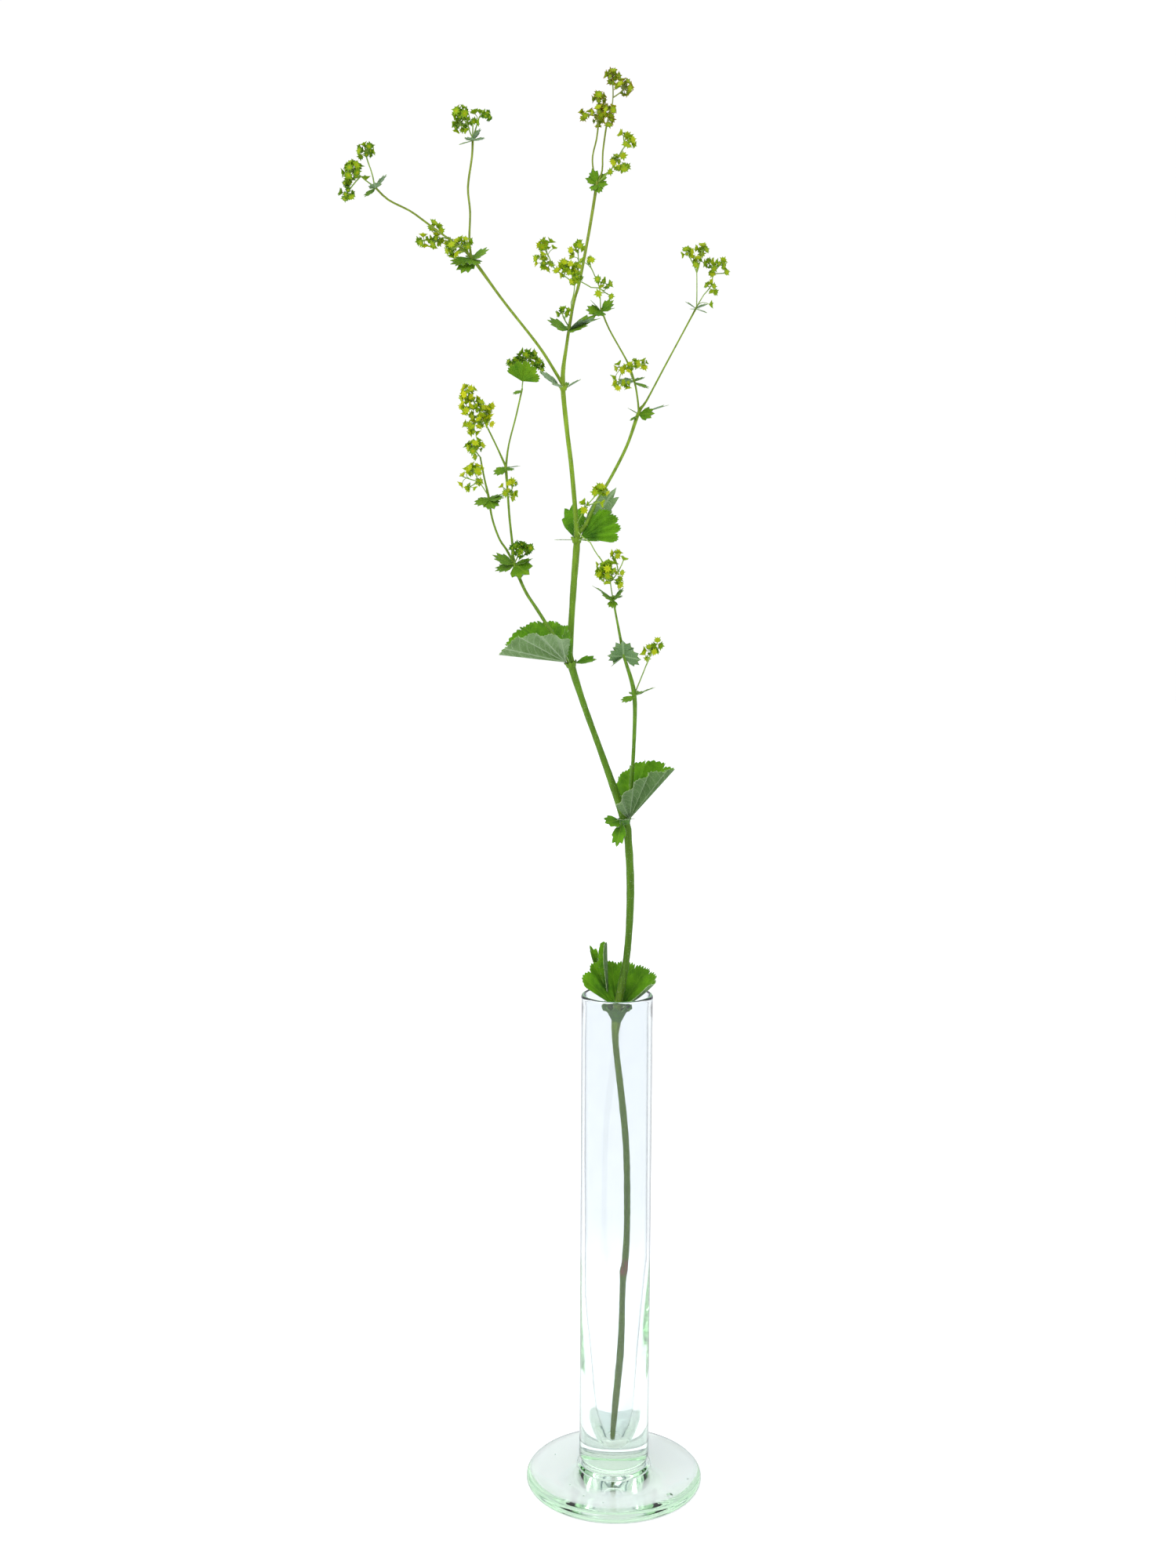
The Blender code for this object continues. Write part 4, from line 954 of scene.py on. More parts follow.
@dataclass(frozen=True)
class Blade:
    """A leaf blade that fans out from its base.

    toward is where the middle rib ends and upper the way its upper face looks.
    spread is the half angle of the fan and folds turn its two halves up about the rib.
    lift opens the fan into a cone, curl bends the margin and lean makes one half longer.
    notches is how many teeth each lobe has, and bite how deep they are as a share of the
    length.
    """

    base: Point
    toward: Point
    upper: Point = (0, 0, 1)
    spread: float = 26.0
    lobes: int = 1
    folds: tuple[float, float] = (0.0, 0.0)
    lift: float = 0.0
    curl: float = 0.0
    lean: float = 0.0
    lobe_depth: float = 0.12
    shoulder: float = 0.7
    notches: int = 5
    bite: float = 0.2
    pleat: float = 0.05
    thickness: float = 0.35
    rows: int = 6

    @property
    def cut(self) -> float:
        """How deep its teeth are as a share of its length."""
        return self.bite

    def outline(self, share: float) -> float:
        """How far the margin reaches, without its teeth.

        Args:
            share: the place across the spread, from -1 to 1.

        Returns:
            The reach as a share of the length.
        """
        reach = self.shoulder + (1 - self.shoulder) * math.cos(math.pi * share / 2)
        reach *= 1 + self.lean * share
        if self.lobes > 1:
            wave = abs(math.sin(math.pi * self.lobes * (share + 1) / 2))
            return reach * (1 - self.lobe_depth * (1 - wave ** 0.6))
        return reach * (1 - 0.3 * share ** 2)

    def tooth(self, share: float) -> float:
        """How deep the margin is cut.

        Args:
            share: the place across the spread, from -1 to 1.

        Returns:
            From 0 at the tip of a tooth to 1 between two.
        """
        count = self.lobes * self.notches
        part = (share + 1) / 2 * count % 1.0
        return abs(2 * part - 1) ** 1.4

    def surface(self, out: float, share: float) -> Vector:
        """A point of the blade's middle surface.

        Args:
            out: how far out it is, from 0 at the base to 1 at the margin.
            share: its place across the spread, from -1 to 1.

        Returns:
            The point in metres.
        """
        base, length, along, across, upper = self.axes
        kept = 1 - self.cut * self.tooth(share) * out ** (2 + 3 / max(self.cut, 0.05))
        radius = max(BLADE_START, out) * self.outline(share) * kept
        angle = math.radians(self.spread) * share
        lift = math.radians(self.lift)
        fold = math.radians(self.folds[0] if share < 0 else self.folds[1])
        fold *= min(1.0, abs(share) / FOLD_SHARE)
        forward = radius * math.cos(angle) * math.cos(lift)
        sideways = radius * math.sin(angle) * math.cos(lift)
        height = radius * math.sin(lift) + self.curl * radius * radius
        height += abs(sideways) * math.sin(fold)
        sideways *= math.cos(fold)
        lobe = (share + 1) / 2 * self.lobes
        height -= self.pleat * radius * (0.5 - 0.5 * math.cos(math.tau * lobe)) / (
            2.0 if self.lobes == 1 else 1.0)
        return base + length * (along * forward + across * sideways + upper * height)

    @property
    def axes(self) -> tuple[Vector, float, Vector, Vector, Vector]:
        """The blade's base, its length and the three ways of its frame."""
        base = spot(self.base)
        along = spot(self.toward) - base
        length = along.length
        along.normalize()
        upper = Vector(self.upper)
        upper = (upper - along * upper.dot(along)).normalized()
        return base, length, along, upper.cross(along), upper

    def add_to(self, shell: Shell) -> None:
        """Adds the blade, as two faces with a margin between them.

        Args:
            shell: the shell that gets it.
        """
        columns = self.lobes * self.notches * 4
        rows = self.rows
        spans = [(row / rows) ** 0.8 for row in range(rows + 1)]
        shares = [2 * column / columns - 1 for column in range(columns + 1)]
        middle = [[self.surface(out, share) for share in shares] for out in spans]
        first = len(shell.points)
        sheets: list[list[Vector]] = [[], []]
        for row in range(rows + 1):
            for column in range(columns + 1):
                span = middle[min(row + 1, rows)][column] - middle[max(row - 1, 0)][column]
                turn = middle[row][min(column + 1, columns)] - middle[row][max(column - 1, 0)]
                normal = span.cross(turn).normalized()
                half = mm(self.thickness) * (0.5 - 0.25 * spans[row])
                sheets[0].append(middle[row][column] + normal * half)
                sheets[1].append(middle[row][column] - normal * half)
        shell.points += sheets[0] + sheets[1]
        wide = columns + 1
        below = wide * (rows + 1)
        for row in range(rows):
            for column in range(columns):
                a = first + row * wide + column
                corners = (a, a + wide, a + wide + 1, a + 1)
                chart = tuple(((shares[c] + 1) / 2 * self.lobes, spans[r]) for r, c in (
                    (row, column), (row + 1, column), (row + 1, column + 1), (row, column + 1)))
                shell.add(corners, Face.UPPER, chart)
                shell.add(tuple(corner + below for corner in corners[::-1]), Face.UNDER,
                          chart[::-1])
        ring = [first + rows * wide + c for c in range(wide)]
        ring += [first + r * wide + columns for r in range(rows - 1, -1, -1)]
        ring += [first + c for c in range(columns - 1, -1, -1)]
        ring += [first + r * wide for r in range(1, rows)]
        for corner, after in zip(ring, ring[1:] + ring[:1]):
            shell.add((corner, corner + below, after + below, after), Face.MARGIN)


@dataclass(frozen=True)
class Sheath:
    """The sheath of a leaf: a thin cup round the stem with a toothed rim.

    inner and outer are its radius at the stem and at the rim.
    """

    centre: Point
    axis: Point
    inner: float
    outer: float
    height: float
    teeth: int = 9

    def add_to(self, shell: Shell) -> None:
        """Adds the sheath.

        Args:
            shell: the shell that gets it.
        """
        axis = Vector(self.axis).normalized()
        side = axis.orthogonal().normalized()
        other = axis.cross(side)
        centre = Vector(self.centre)
        sides = self.teeth * 4
        flare = self.outer - self.inner
        section = (
            (self.inner - 0.8, -0.62, 0.0), (self.inner + 0.05, -0.45, 0.0),
            (self.inner + flare * 0.3, -0.15, 0.0), (self.inner + flare * 0.6, 0.2, 0.3),
            (self.outer, 0.5, 1.0), (self.outer - 0.3, 0.55, 1.0),
            (self.inner + flare * 0.4, 0.2, 0.3), (self.inner - 0.4, -0.1, 0.0))
        first = len(shell.points)
        # Radius, level as a share of the height, and how much of the teeth each ring has
        for radius, level, wave in section:
            for corner in range(sides):
                angle = math.tau * corner / sides
                tooth = abs(2 * (corner / 4 % 1.0) - 1) * 0.3 * wave
                reach = side * math.cos(angle) + other * math.sin(angle)
                shell.points.append(
                    (centre + axis * (level - tooth) * self.height + reach * radius) * 0.001)
        for ring in range(len(section)):
            after = (ring + 1) % len(section)
            shell.bridge(first + ring * sides, first + after * sides, sides, Face.SHEATH)


@dataclass
class Leaf:
    """A large leaf: its blades and its sheath."""

    node: str
    blades: tuple[Blade, ...]
    sheath: Sheath

    def build(self, finishes: list[Material]) -> Object:
        """Makes the leaf.

        Args:
            finishes: the materials of its upper face, under face, margin and sheath.

        Returns:
            The leaf, in place of its node.
        """
        shell = Shell()
        for blade in self.blades:
            blade.add_to(shell)
        self.sheath.add_to(shell)
        return shell.build(self.node + "_blades", finishes)


@dataclass(frozen=True)
class MainBlade(Blade):
    """A large blade, with many teeth about 1.5 mm apart and tooth_depth deep."""

    lobe_depth: float = 0.1
    notches: int = 7
    pleat: float = 0.09
    thickness: float = 0.4
    rows: int = 14
    tooth_depth: float = 0.9

    @property
    def cut(self) -> float:
        """How deep its teeth are as a share of its length."""
        return self.tooth_depth / (Vector(self.toward) - Vector(self.base)).length


LEAVES: tuple[Leaf, ...] = (
    Leaf("leaf_1", (
        MainBlade((0.3, 0.8, 242.5), (13.6, 16.8, 242.5), (0.05, -0.26, 1), 88, 5,
                  (0, 0), 35, 0.42, shoulder=0.96),
        MainBlade((0.1, 0.2, 242.8), (-11.6, 3.6, 265), (0.3, -0.9, 0.4), 33, 3,
                  (4, 10), shoulder=0.86, notches=6),
        Blade((-9.5, 9, 257), (-13.4, 10.2, 272), (0.7, -0.5, 0.2), 17, 1, (50, 20),
              shoulder=0.96, notches=3, bite=0.14),
        Blade((-4.5, 2, 247), (-5.8, 3.5, 277), (-0.75, -0.6, 0), 13, 1, (60, 40),
              shoulder=0.97, notches=2, bite=0.1),
    ), Sheath((-0.1, 0, 240.6), (0, 0, 1), 2.5, 7.5, 9.0)),
    Leaf("leaf_2", (
        MainBlade((5.3, 3.5, 335.8), (24.6, -0.7, 362.6), (-0.84, 0, 0.54), 76, 9,
                  (34, 52), shoulder=0.62),
        Blade((0.4, 3.6, 335.2), (-6.5, -1, 334.5), (0, -0.7, 1), 64, 1, shoulder=0.9),
        Blade((1.7, 2.6, 334.5), (-1, -2, 323), (-0.6, -0.8, 0), 40),
        Blade((3.2, 2.4, 335.6), (4, -5, 337), (0, -0.4, 1), 62, 1, shoulder=0.9),
    ), Sheath((3.0, 5, 334.6), (-0.1, 0, 1), 2.45, 3.4, 3.0)),
    Leaf("leaf_3", (
        MainBlade((-25.6, -2.2, 411.8), (-57, -4, 418), (0.15, 0, 1), 88, 9, (52, 34)),
        Blade((-23.6, -4.5, 411.6), (-25.5, -12, 428), (0.6, -0.6, 0.3), 24),
        Blade((-21, -2.9, 411.4), (-11, -5, 413.5), (0, -0.5, 0.85), 40, 1, (14, 14)),
    ), Sheath((-23.2, -2, 410.8), (-0.25, -0.1, 0.95), 2.15, 3.1, 3.0)),
    Leaf("leaf_4", (
        MainBlade((-18.6, -7, 470.3), (-1.4, -6, 480.6), (0.2, -0.85, 0.5), 44, 5,
                  (8, -12), shoulder=0.85, notches=5),
        Blade((-18.8, -4.4, 470.2), (-2, 3, 494), (0.5, 0.75, 0.4), 20),
        Blade((-21.2, -3.9, 469.8), (-22.5, 2.5, 487), (0, -0.8, 0.5), 38),
        Blade((-22.9, -6.6, 469.4), (-31, -9.5, 469.5), (0, 0, 1), 24),
        Blade((-19.5, -8.1, 469.4), (-10, -11.5, 469), (0, -0.2, 1), 24),
    ), Sheath((-20.6, -6, 469.4), (0, 0, 1), 1.95, 2.8, 3.0)),
    Leaf("leaf_5", (
        Blade((-28.9, -4.7, 540), (-37.5, -12, 547), (0.1, 0, 1), 30),
        Blade((-27.7, -5.7, 539.8), (-32, -12, 541), (0, 0, 1), 26),
        Blade((-25.5, -4.3, 539.8), (-19, -7, 543.5), (0, -0.2, 1), 32, 1, (10, 0)),
        Blade((-27.2, -2.3, 539.8), (-26, 4.5, 543.5), (0, 0, 1), 30),
    ), Sheath((-27.2, -4, 539.6), (-0.1, 0, 1), 1.4, 2.2, 2.4)),
)


# Stem

Route = tuple[Point, ...]

MAIN_STEM: Route = (
    (-0.4, 0, 20.4, 1.6), (1.0, 0, 45, 1.7), (3.1, 1, 75, 1.6), (4.2, 2, 102, 1.7),
    (4.4, 2, 107.5, 2.2), (5.2, 2, 114, 1.8), (5.8, 2, 134, 1.6), (5.1, 2, 170, 1.6),
    (2.5, 1, 198, 1.7), (-0.7, 0, 226, 1.6), (-0.3, 0, 237, 2.5), (0.3, 0, 244, 2.0),
    (4.6, 2, 269, 1.7), (6.1, 4, 299, 1.9), (4.8, 5, 325, 1.9), (2.7, 5, 336, 2.1),
    (-8, 3, 366.5, 1.55), (-17.2, 0, 392, 1.5), (-23.4, -2, 412, 1.9), (-23.6, -2.6, 420, 1.5),
    (-22.2, -4, 445, 1.5), (-20.5, -6, 469, 1.6), (-20.9, -6, 478, 1.1), (-23.2, -6, 503, 1.05),
    (-25.5, -5, 521, 1.05), (-27.5, -4, 543, 1.1), (-25.8, -2, 559.5, 0.75),
    (-22.7, 0, 579, 0.72), (-20.2, 1, 588, 0.72), (-15.9, 4, 611, 0.7), (-12.1, 6.6, 635, 0.75))

BRANCHES: tuple[Route, ...] = (
    ((3.4, 5, 333, 1.3), (5.8, 0, 349.5, 0.95), (7.2, -10, 378, 0.9), (6.9, -16, 398, 1.1),
     (2.8, -20, 413, 0.75), (1.7, -21, 417, 0.8), (-1.3, -27, 432, 0.5), (-3.4, -31, 443, 0.5)),
    ((-23.6, -2, 414, 1.2), (-31.3, 2, 424, 0.85), (-39.8, 7, 436.5, 0.8),
     (-46.1, 11, 446, 0.75), (-51.5, 15.6, 459, 0.9), (-52.4, 18, 468, 0.6),
     (-54, 21, 481, 0.55), (-55.4, 25, 497, 0.6), (-56.2, 27, 506, 0.75)),
    ((-51.2, 15.4, 458, 0.6), (-54.9, 13, 465, 0.55), (-58.1, 10, 470, 0.5),
     (-61.3, 7, 479.5, 0.5), (-62.9, 4, 490, 0.6), (-64.6, 2, 498, 0.42), (-66.4, 0, 508, 0.4)),
    ((-56.1, 26.7, 505, 0.6), (-54.9, 30, 516, 0.42), (-51.7, 35, 530, 0.4),
     (-48.9, 40, 544, 0.45)),
    ((-56.2, 27, 505.5, 0.6), (-60.3, 25, 514.5, 0.42), (-64.4, 22.2, 523, 0.42)),
    ((-20.4, -6, 472, 1.2), (-16.5, -4, 476.5, 0.9), (-11.4, 2, 487.5, 0.8),
     (-4.1, 8, 500.5, 0.75), (2.9, 14, 515, 0.75), (8.4, 19.7, 531, 0.85), (12, 22, 536.5, 0.5),
     (21, 30, 554, 0.42), (30.4, 37, 572, 0.4), (36.4, 41, 583.5, 0.5)),
    ((8.4, 19.6, 530.5, 0.6), (7.9, 18.6, 535.5, 0.45), (6.8, 16, 542, 0.45),
     (5.6, 14, 546, 0.55), (2.6, 11, 553.5, 0.42), (-6.1, 6, 568, 0.4), (-10, 2, 577, 0.45)),
    ((-27.4, -4, 541, 0.9), (-31.4, -6, 547.5, 0.72), (-38.9, -10, 558.5, 0.65),
     (-54.3, -18, 577, 0.6), (-68.3, -25.8, 595, 0.75), (-74.7, -28, 600, 0.5),
     (-87.5, -33, 608.5, 0.45), (-94.5, -36, 613, 0.45), (-103.7, -40, 617, 0.45),
     (-109.3, -43, 622, 0.5)),
    ((-68.2, -25.6, 594.5, 0.6), (-69.1, -25, 603, 0.5), (-69, -22, 615.5, 0.48),
     (-70.2, -19, 627, 0.48), (-68.6, -16, 641, 0.5), (-68.4, -14, 649.5, 0.55)),
    ((-12.2, 6.6, 633.5, 0.6), (-14, 8, 641, 0.4), (-14.3, 8, 647, 0.38),
     (-12.5, 6, 654, 0.38), (-11.8, 5, 659.5, 0.42)),
    ((-12, 6.6, 633.5, 0.6), (-9.8, 6, 640, 0.4), (-9.5, 4, 648, 0.4), (-7.8, 1.2, 659.5, 0.42)),
)


@dataclass(frozen=True)
class Bract:
    """A small bract at a fork or tip of the stem.

    tip is where it ends, upper the way its upper face looks, spread its half angle and
    below how far under the fork it starts. lobes and folds are those of its blade.
    """

    tip: Point
    upper: Point
    spread: float
    below: float = 0.0
    lobes: int = 1
    folds: tuple[float, float] = (0.0, 0.0)

    def blade(self, fork: Point) -> Blade:
        """The bract's blade.

        Args:
            fork: where the stem bears it.

        Returns:
            The blade: a fan where it has lobes, or else a broad leaflet.
        """
        x, y, z = fork
        base = (x, y, z - self.below)
        if self.lobes > 1:
            return Blade(base, self.tip, self.upper, self.spread, self.lobes, self.folds,
                         shoulder=0.9, notches=4, bite=0.09, pleat=0.08, thickness=0.3, rows=8)
        start = Vector(base)
        longer = tuple(start + (Vector(self.tip) - start) * LEAFLET_REACH)
        broader = min(self.spread * LEAFLET_BREADTH, WIDEST_LEAFLET)
        return Blade(base, longer, self.upper, broader, 1, self.folds, shoulder=0.9,
                     notches=5 if self.spread > NARROW_LEAFLET else 3, bite=0.3, pleat=0.12,
                     thickness=0.28)


Fork = tuple[Point, tuple[Bract, ...]]

# How much longer and broader a leaflet is drawn than its row says, its widest half angle,
# and the half angle in its row up to which it has fewer teeth
LEAFLET_REACH = 1.12
LEAFLET_BREADTH = 1.5
WIDEST_LEAFLET = 72
NARROW_LEAFLET = 24

# The small bracts of each fork and tip
BRACTS: tuple[Fork, ...] = (
    # At the axil below the crown
    ((-25.1, -1.4, 566.4), (
        Bract((-33.5, -5, 570.5), (0.1, -0.6, 0.9), 36),
        Bract((-12, -5, 571.5), (0, -0.3, 1), 31, folds=(20, 20)),
        Bract((-17, -10, 567.5), (0, -0.7, 0.8), 28, 0.2), Bract((-28, 6, 570), (0, 0, 1), 38))),
    # Star under the crown
    ((-12.2, 6.4, 634.2), (
        Bract((-17, 4.6, 636.2), (0.3, -0.9, 0.5), 24),
        Bract((-14.2, 5.4, 640.2), (0.1, -1, 0.4), 22),
        Bract((-8.2, 5.8, 638.6), (-0.3, -0.9, 0.5), 24),
        Bract((-11.2, 3, 629.6), (0, -1, 0.5), 26, 0.2),
        Bract((-14.6, 3.4, 630.8), (-0.3, -1, 0.5), 24, 0.2),
        Bract((-7.6, 4, 633.4), (0, -1, 0.5), 24, 0.2),
        Bract((-12, 13, 637), (0, -0.3, 1), 36, 0.8))),
    # Fork of the long left branch
    ((-68.1, -25.7, 594.4), (
        Bract((-76.5, -29, 592), (0, -0.7, 1), 31), Bract((-72, -31, 588), (-0.2, -1, 0.6), 31),
        Bract((-66, -32, 591), (0.2, -1, 0.6), 33, 0.2),
        Bract((-61, -28, 598), (-0.2, -0.7, 1), 36), Bract((-66.5, -18.5, 598), (0, 0, 1), 33))),
    # Far left tip
    ((-108.9, -42.8, 621.4), (
        Bract((-104.5, -44.5, 626.5), (-0.6, 0, 0.8), 26),
        Bract((-113.2, -44.5, 617.8), (-0.6, -0.6, 0.6), 33, 0.2),
        Bract((-108.5, -48.5, 622.5), (-0.3, 0, 1), 31, 0.2),
        Bract((-109.5, -37.5, 624), (-0.3, 0, 1), 31, 0.2))),
    # Left top tip
    ((-68.4, -14.1, 648.6), (
        Bract((-65.4, -16.5, 653), (-0.6, 0, 0.8), 38),
        Bract((-63.6, -12.5, 650), (-0.2, 0, 1), 28),
        Bract((-74, -15.5, 646.8), (-0.2, -0.3, 1), 26, 0.2),
        Bract((-70, -19, 649), (0, -0.2, 1), 33, 0.2),
        Bract((-69, -8.5, 650.5), (0, 0, 1), 33, 0.2))),
    # Fork of the right branch
    ((8.2, 19.4, 529.8), (
        Bract((15, 16, 530.2), (0, -0.8, 0.5), 34), Bract((21, 23, 535), (-0.2, 0, 1), 11),
        Bract((4.6, 17, 527), (-0.6, -0.4, 0.4), 28, 0.2),
        Bract((3.8, 21.5, 533), (0.2, 0, 1), 28))),
    # Right top tip
    ((36, 40.8, 582.8), (
        Bract((31.5, 41, 586), (0.3, 0, 1), 23), Bract((41, 38.5, 584.8), (-0.1, 0, 1), 26),
        Bract((41, 43, 581.5), (0, -0.2, 1), 26, 0.2), Bract((35, 36, 582), (0, 0, 1), 31, 0.2))),
    # Low fork of the right branch
    ((5.7, 14.2, 544.6), (
        Bract((-2.5, 13, 544.8), (0.2, 0.3, 1), 38),
        Bract((12.2, 11, 541.8), (0, -0.2, 1), 26, 0.2), Bract((9.5, 18.5, 547.5), (0, 0, 1), 33))),
    # Curled tip before the main stem
    ((-9.8, 2.2, 575.4), (
        Bract((-16.2, 0, 576), (0, -0.9, 0.7), 36),
        Bract((-4.8, 0.5, 580), (-0.3, -0.9, 0.7), 33), Bract((-11, -3, 573), (0, -0.8, 0.6), 33),
        Bract((-14, 3.5, 580.5), (0.3, 0, 1), 31), Bract((-4.5, 5, 577.5), (0, 0, 1), 31))),
    # Fork of the middle left branch
    ((-51.3, 15.2, 457.8), (
        Bract((-60.5, 14, 462.5), (0.2, -0.5, 1), 33),
        Bract((-59.5, 12, 455.5), (0, -0.5, 1), 28, 0.2),
        Bract((-44.5, 9, 454), (0, -0.9, 0.5), 42, folds=(0, 10)),
        Bract((-43.5, 16, 461), (0, -0.2, 1), 36), Bract((-52.5, 23, 459), (0, 0, 1), 36))),
    # Fork of the upright shoot
    ((-56, 26.6, 504.6), (
        Bract((-61.5, 25, 502), (0, -0.7, 1), 36), Bract((-50, 28, 506), (0, 0, 1), 15),
        Bract((-55, 32.5, 506), (0, 0, 1), 31), Bract((-53, 22, 503.5), (0, -0.4, 1), 26))),
    # Tip of the loose shoot
    ((-62.8, 4.2, 488.6), (
        Bract((-69, 2.5, 486.5), (0, -0.6, 1), 36), Bract((-56, 2, 489.5), (0, -0.5, 1), 33),
        Bract((-60, -1.5, 484.5), (0, -0.9, 0.6), 36, 0.2),
        Bract((-57.5, 8, 491.5), (0, 0, 1), 31), Bract((-65, 9.5, 490), (0, 0, 1), 33))),
    # Fan behind the middle head
    ((-49, 39.4, 547.5), (
        Bract((-46, 36.2, 557), (0.1, -0.9, 0.4), 74, lobes=5, folds=(12, 12)),
        Bract((-53, 38, 541.5), (0, -0.4, 1), 33, 4.5))),
    # Low branch, first fork
    ((6.9, -15.6, 396.8), (
        Bract((1.5, -18.5, 394.5), (0, -0.3, 1), 31), Bract((15.5, -16.5, 401), (-0.2, 0, 1), 26),
        Bract((8.5, -9, 399), (0, 0, 1), 31))),
    # Low branch, middle
    ((1.9, -20.8, 415.6), (
        Bract((-5, -22.5, 416), (-0.2, 0.8, 0.4), 33),
        Bract((1.5, -25.5, 422.5), (0.1, 0.9, 0.5), 38),
        Bract((9.3, -24, 414.5), (0, 0.8, 0.4), 35),
        Bract((-3.6, -20, 411.5), (0.2, 0, 1), 23, 0.2), Bract((4, -14.5, 418), (0, 0, 1), 33))),
    # Low branch, tip
    ((-3.3, -30.7, 442), (
        Bract((-11.5, -29, 448), (0.3, 0, 1), 14), Bract((0.8, -35, 446), (-0.3, -0.6, 0.9), 34),
        Bract((-7.5, -35.5, 444), (0.3, -0.6, 0.9), 33),
        Bract((-3.5, -35, 438.5), (0, -1, 0.4), 28, 0.2), Bract((-1, -25, 444), (0, 0, 1), 31))),
)


@dataclass
class Stem:
    """The stem with its branches and bracts."""

    main: Route = MAIN_STEM
    branches: tuple[Route, ...] = BRANCHES
    forks: tuple[Fork, ...] = BRACTS
    main_sides: int = 20
    branch_sides: int = 12
    step: float = 3.0
    unevenness: float = 0.04
    seed: int = 11

    def lines(self, routes: tuple[Route, ...]) -> Object:
        """The centre lines as a mesh of edges with a radius at each point.

        Args:
            routes: the routes to draw.

        Returns:
            The object that the tree reads.
        """
        draw = random.Random(self.seed)
        least, most = 1 - self.unevenness, 1 + self.unevenness
        points, edges, radii = [], [], []
        for route in routes:
            stations = smooth_line(route, self.step)
            for index, station in enumerate(stations):
                if index:
                    edges.append((len(points) - 1, len(points)))
                points.append(spot(station))
                radii.append(mm(station[3]) * draw.uniform(least, most))
        mesh = bpy.data.meshes.new("lines")
        mesh.from_pydata([tuple(point) for point in points], edges, [])
        set_values(mesh, "radius", radii)
        return link("lines", mesh)

    def tubes(self, tree: NodeTree, finish: Material) -> Object:
        """The main stem and its branches.

        Args:
            tree: the tree that sweeps them.
            finish: their material.

        Returns:
            The stems in one object.
        """
        return join("stem_tubes", [
            grow(self.lines(routes), tree, {"Sides": sides, "Material": finish})
            for routes, sides in (((self.main,), self.main_sides),
                                  (self.branches, self.branch_sides))])

    def leaflets(self, finishes: list[Material]) -> Object:
        """The small bracts, all in one object.

        Args:
            finishes: the materials of upper face, under face and margin.

        Returns:
            The bracts.
        """
        shell = Shell()
        for place, bracts in self.forks:
            for bract in bracts:
                bract.blade(place).add_to(shell)
        return shell.build("stem_bracts", finishes)


def join(name: str, meshes: list[Mesh]) -> Object:
    """Joins meshes into one smooth object whose faces look outwards.

    Args:
        name: the piece's name.
        meshes: closed meshes.

    Returns:
        The object.
    """
    whole = bmesh.new()
    materials: list[Material] = []
    numbers: list[int] = []
    for mesh in meshes:
        whole.from_mesh(mesh)
        for material in mesh.materials:
            if material and material not in materials:
                materials.append(material)
        numbers += [materials.index(mesh.materials[face.material_index]) for face in mesh.polygons]
    bmesh.ops.recalc_face_normals(whole, faces=whole.faces)
    result = bpy.data.meshes.new(name)
    whole.to_mesh(result)
    whole.free()
    result.materials.clear()
    for material in materials:
        result.materials.append(material)
    result.polygons.foreach_set("material_index", numbers)
    result.shade_smooth()
    result.set_sharp_from_angle(angle=SHARP)
    return link(name, result)


# Flowers

@dataclass
class Flower:
    """One flower, one unit in radius: four broad and four narrow sepals round a shallow cup.

    narrow, notch, throat and waist are the radii of the narrow sepals' tips, of the cuts
    between the sepals, and of the cup at its mouth and below it.
    """

    narrow: float = 0.82
    notch: float = 0.51
    throat: float = 0.25
    waist: float = 0.38
    depth: float = 0.7
    # Heights of the cup's middle, mouth and waist, and of the broad and narrow tips
    levels: tuple[float, float, float] = (-0.13, -0.04, -0.42)
    tips: tuple[float, float] = (0.1, -0.06)

    def build(self) -> Object:
        """Makes the flower as a closed shell of 64 faces, with its attributes petal and bloom.

        Returns:
            The flower at the origin, looking along +Z.
        """
        middle, mouth, under = self.levels
        points: list[Point] = [(0.0, 0.0, middle), (0.0, 0.0, -self.depth)]
        petal = [0.0, 0.2]
        for radius, level, share, turn in ((self.throat, mouth, 0.25, 0.0),
                                           (self.waist, under, 0.4, 0.5)):
            for corner in range(8):
                angle = math.pi / 4 * (corner + turn)
                points.append((radius * math.cos(angle), radius * math.sin(angle), level))
                petal.append(share)
        for corner in range(16):
            angle = math.pi / 8 * corner
            tip = corner % 2 == 0
            broad = corner % 4 == 0
            radius = (1.0 if broad else self.narrow) if tip else self.notch
            level = self.tips[0 if broad else 1] if tip else 0.0
            points.append((radius * math.cos(angle), radius * math.sin(angle), level))
            petal.append(1.0 if tip else 0.5)
        faces = []
        for k in range(8):
            inner, after = 2 + k, 2 + (k + 1) % 8
            low, before = 10 + k, 10 + (k - 1) % 8
            tip, notch, back = 18 + 2 * k, 18 + (2 * k + 1) % 16, 18 + (2 * k - 1) % 16
            faces += [(0, inner, after), (inner, tip, notch), (inner, notch, after),
                      (inner, back, tip)]
            faces += [(1, low, before), (low, notch, tip), (before, low, tip), (before, tip, back)]
        mesh = bpy.data.meshes.new("flower")
        mesh.from_pydata(points, [], faces)
        set_values(mesh, "petal", petal)
        set_values(mesh, "bloom", [1.0] * len(points))
        return link("flower", mesh)


@dataclass(frozen=True)
class Bloom:
    """A kind of flower in a spray.

    neck is how far under its middle its stalk ends, and thick how thick the stalk starts
    beside the spray's stalks. sizes is the range of its size, and tones that of its tone
    beside the spray's.
    """

    neck: float
    thick: float
    sizes: tuple[float, float]
    tones: tuple[float, float]


SINGLE = Bloom(1.1, 0.8, (0.85, 1.1), (-0.15, 0.2))
OPEN = Bloom(1.0, 0.7, (0.8, 1.1), (-0.2, 0.25))
# Small buds inside a knot are toned toward dark green: partly their own greener colour, partly
# painted shade in the depth of the head
BUD_GREEN_AND_SHADED = Bloom(0.6, 0.7, (0.5, 0.75), (-0.15, -0.45))


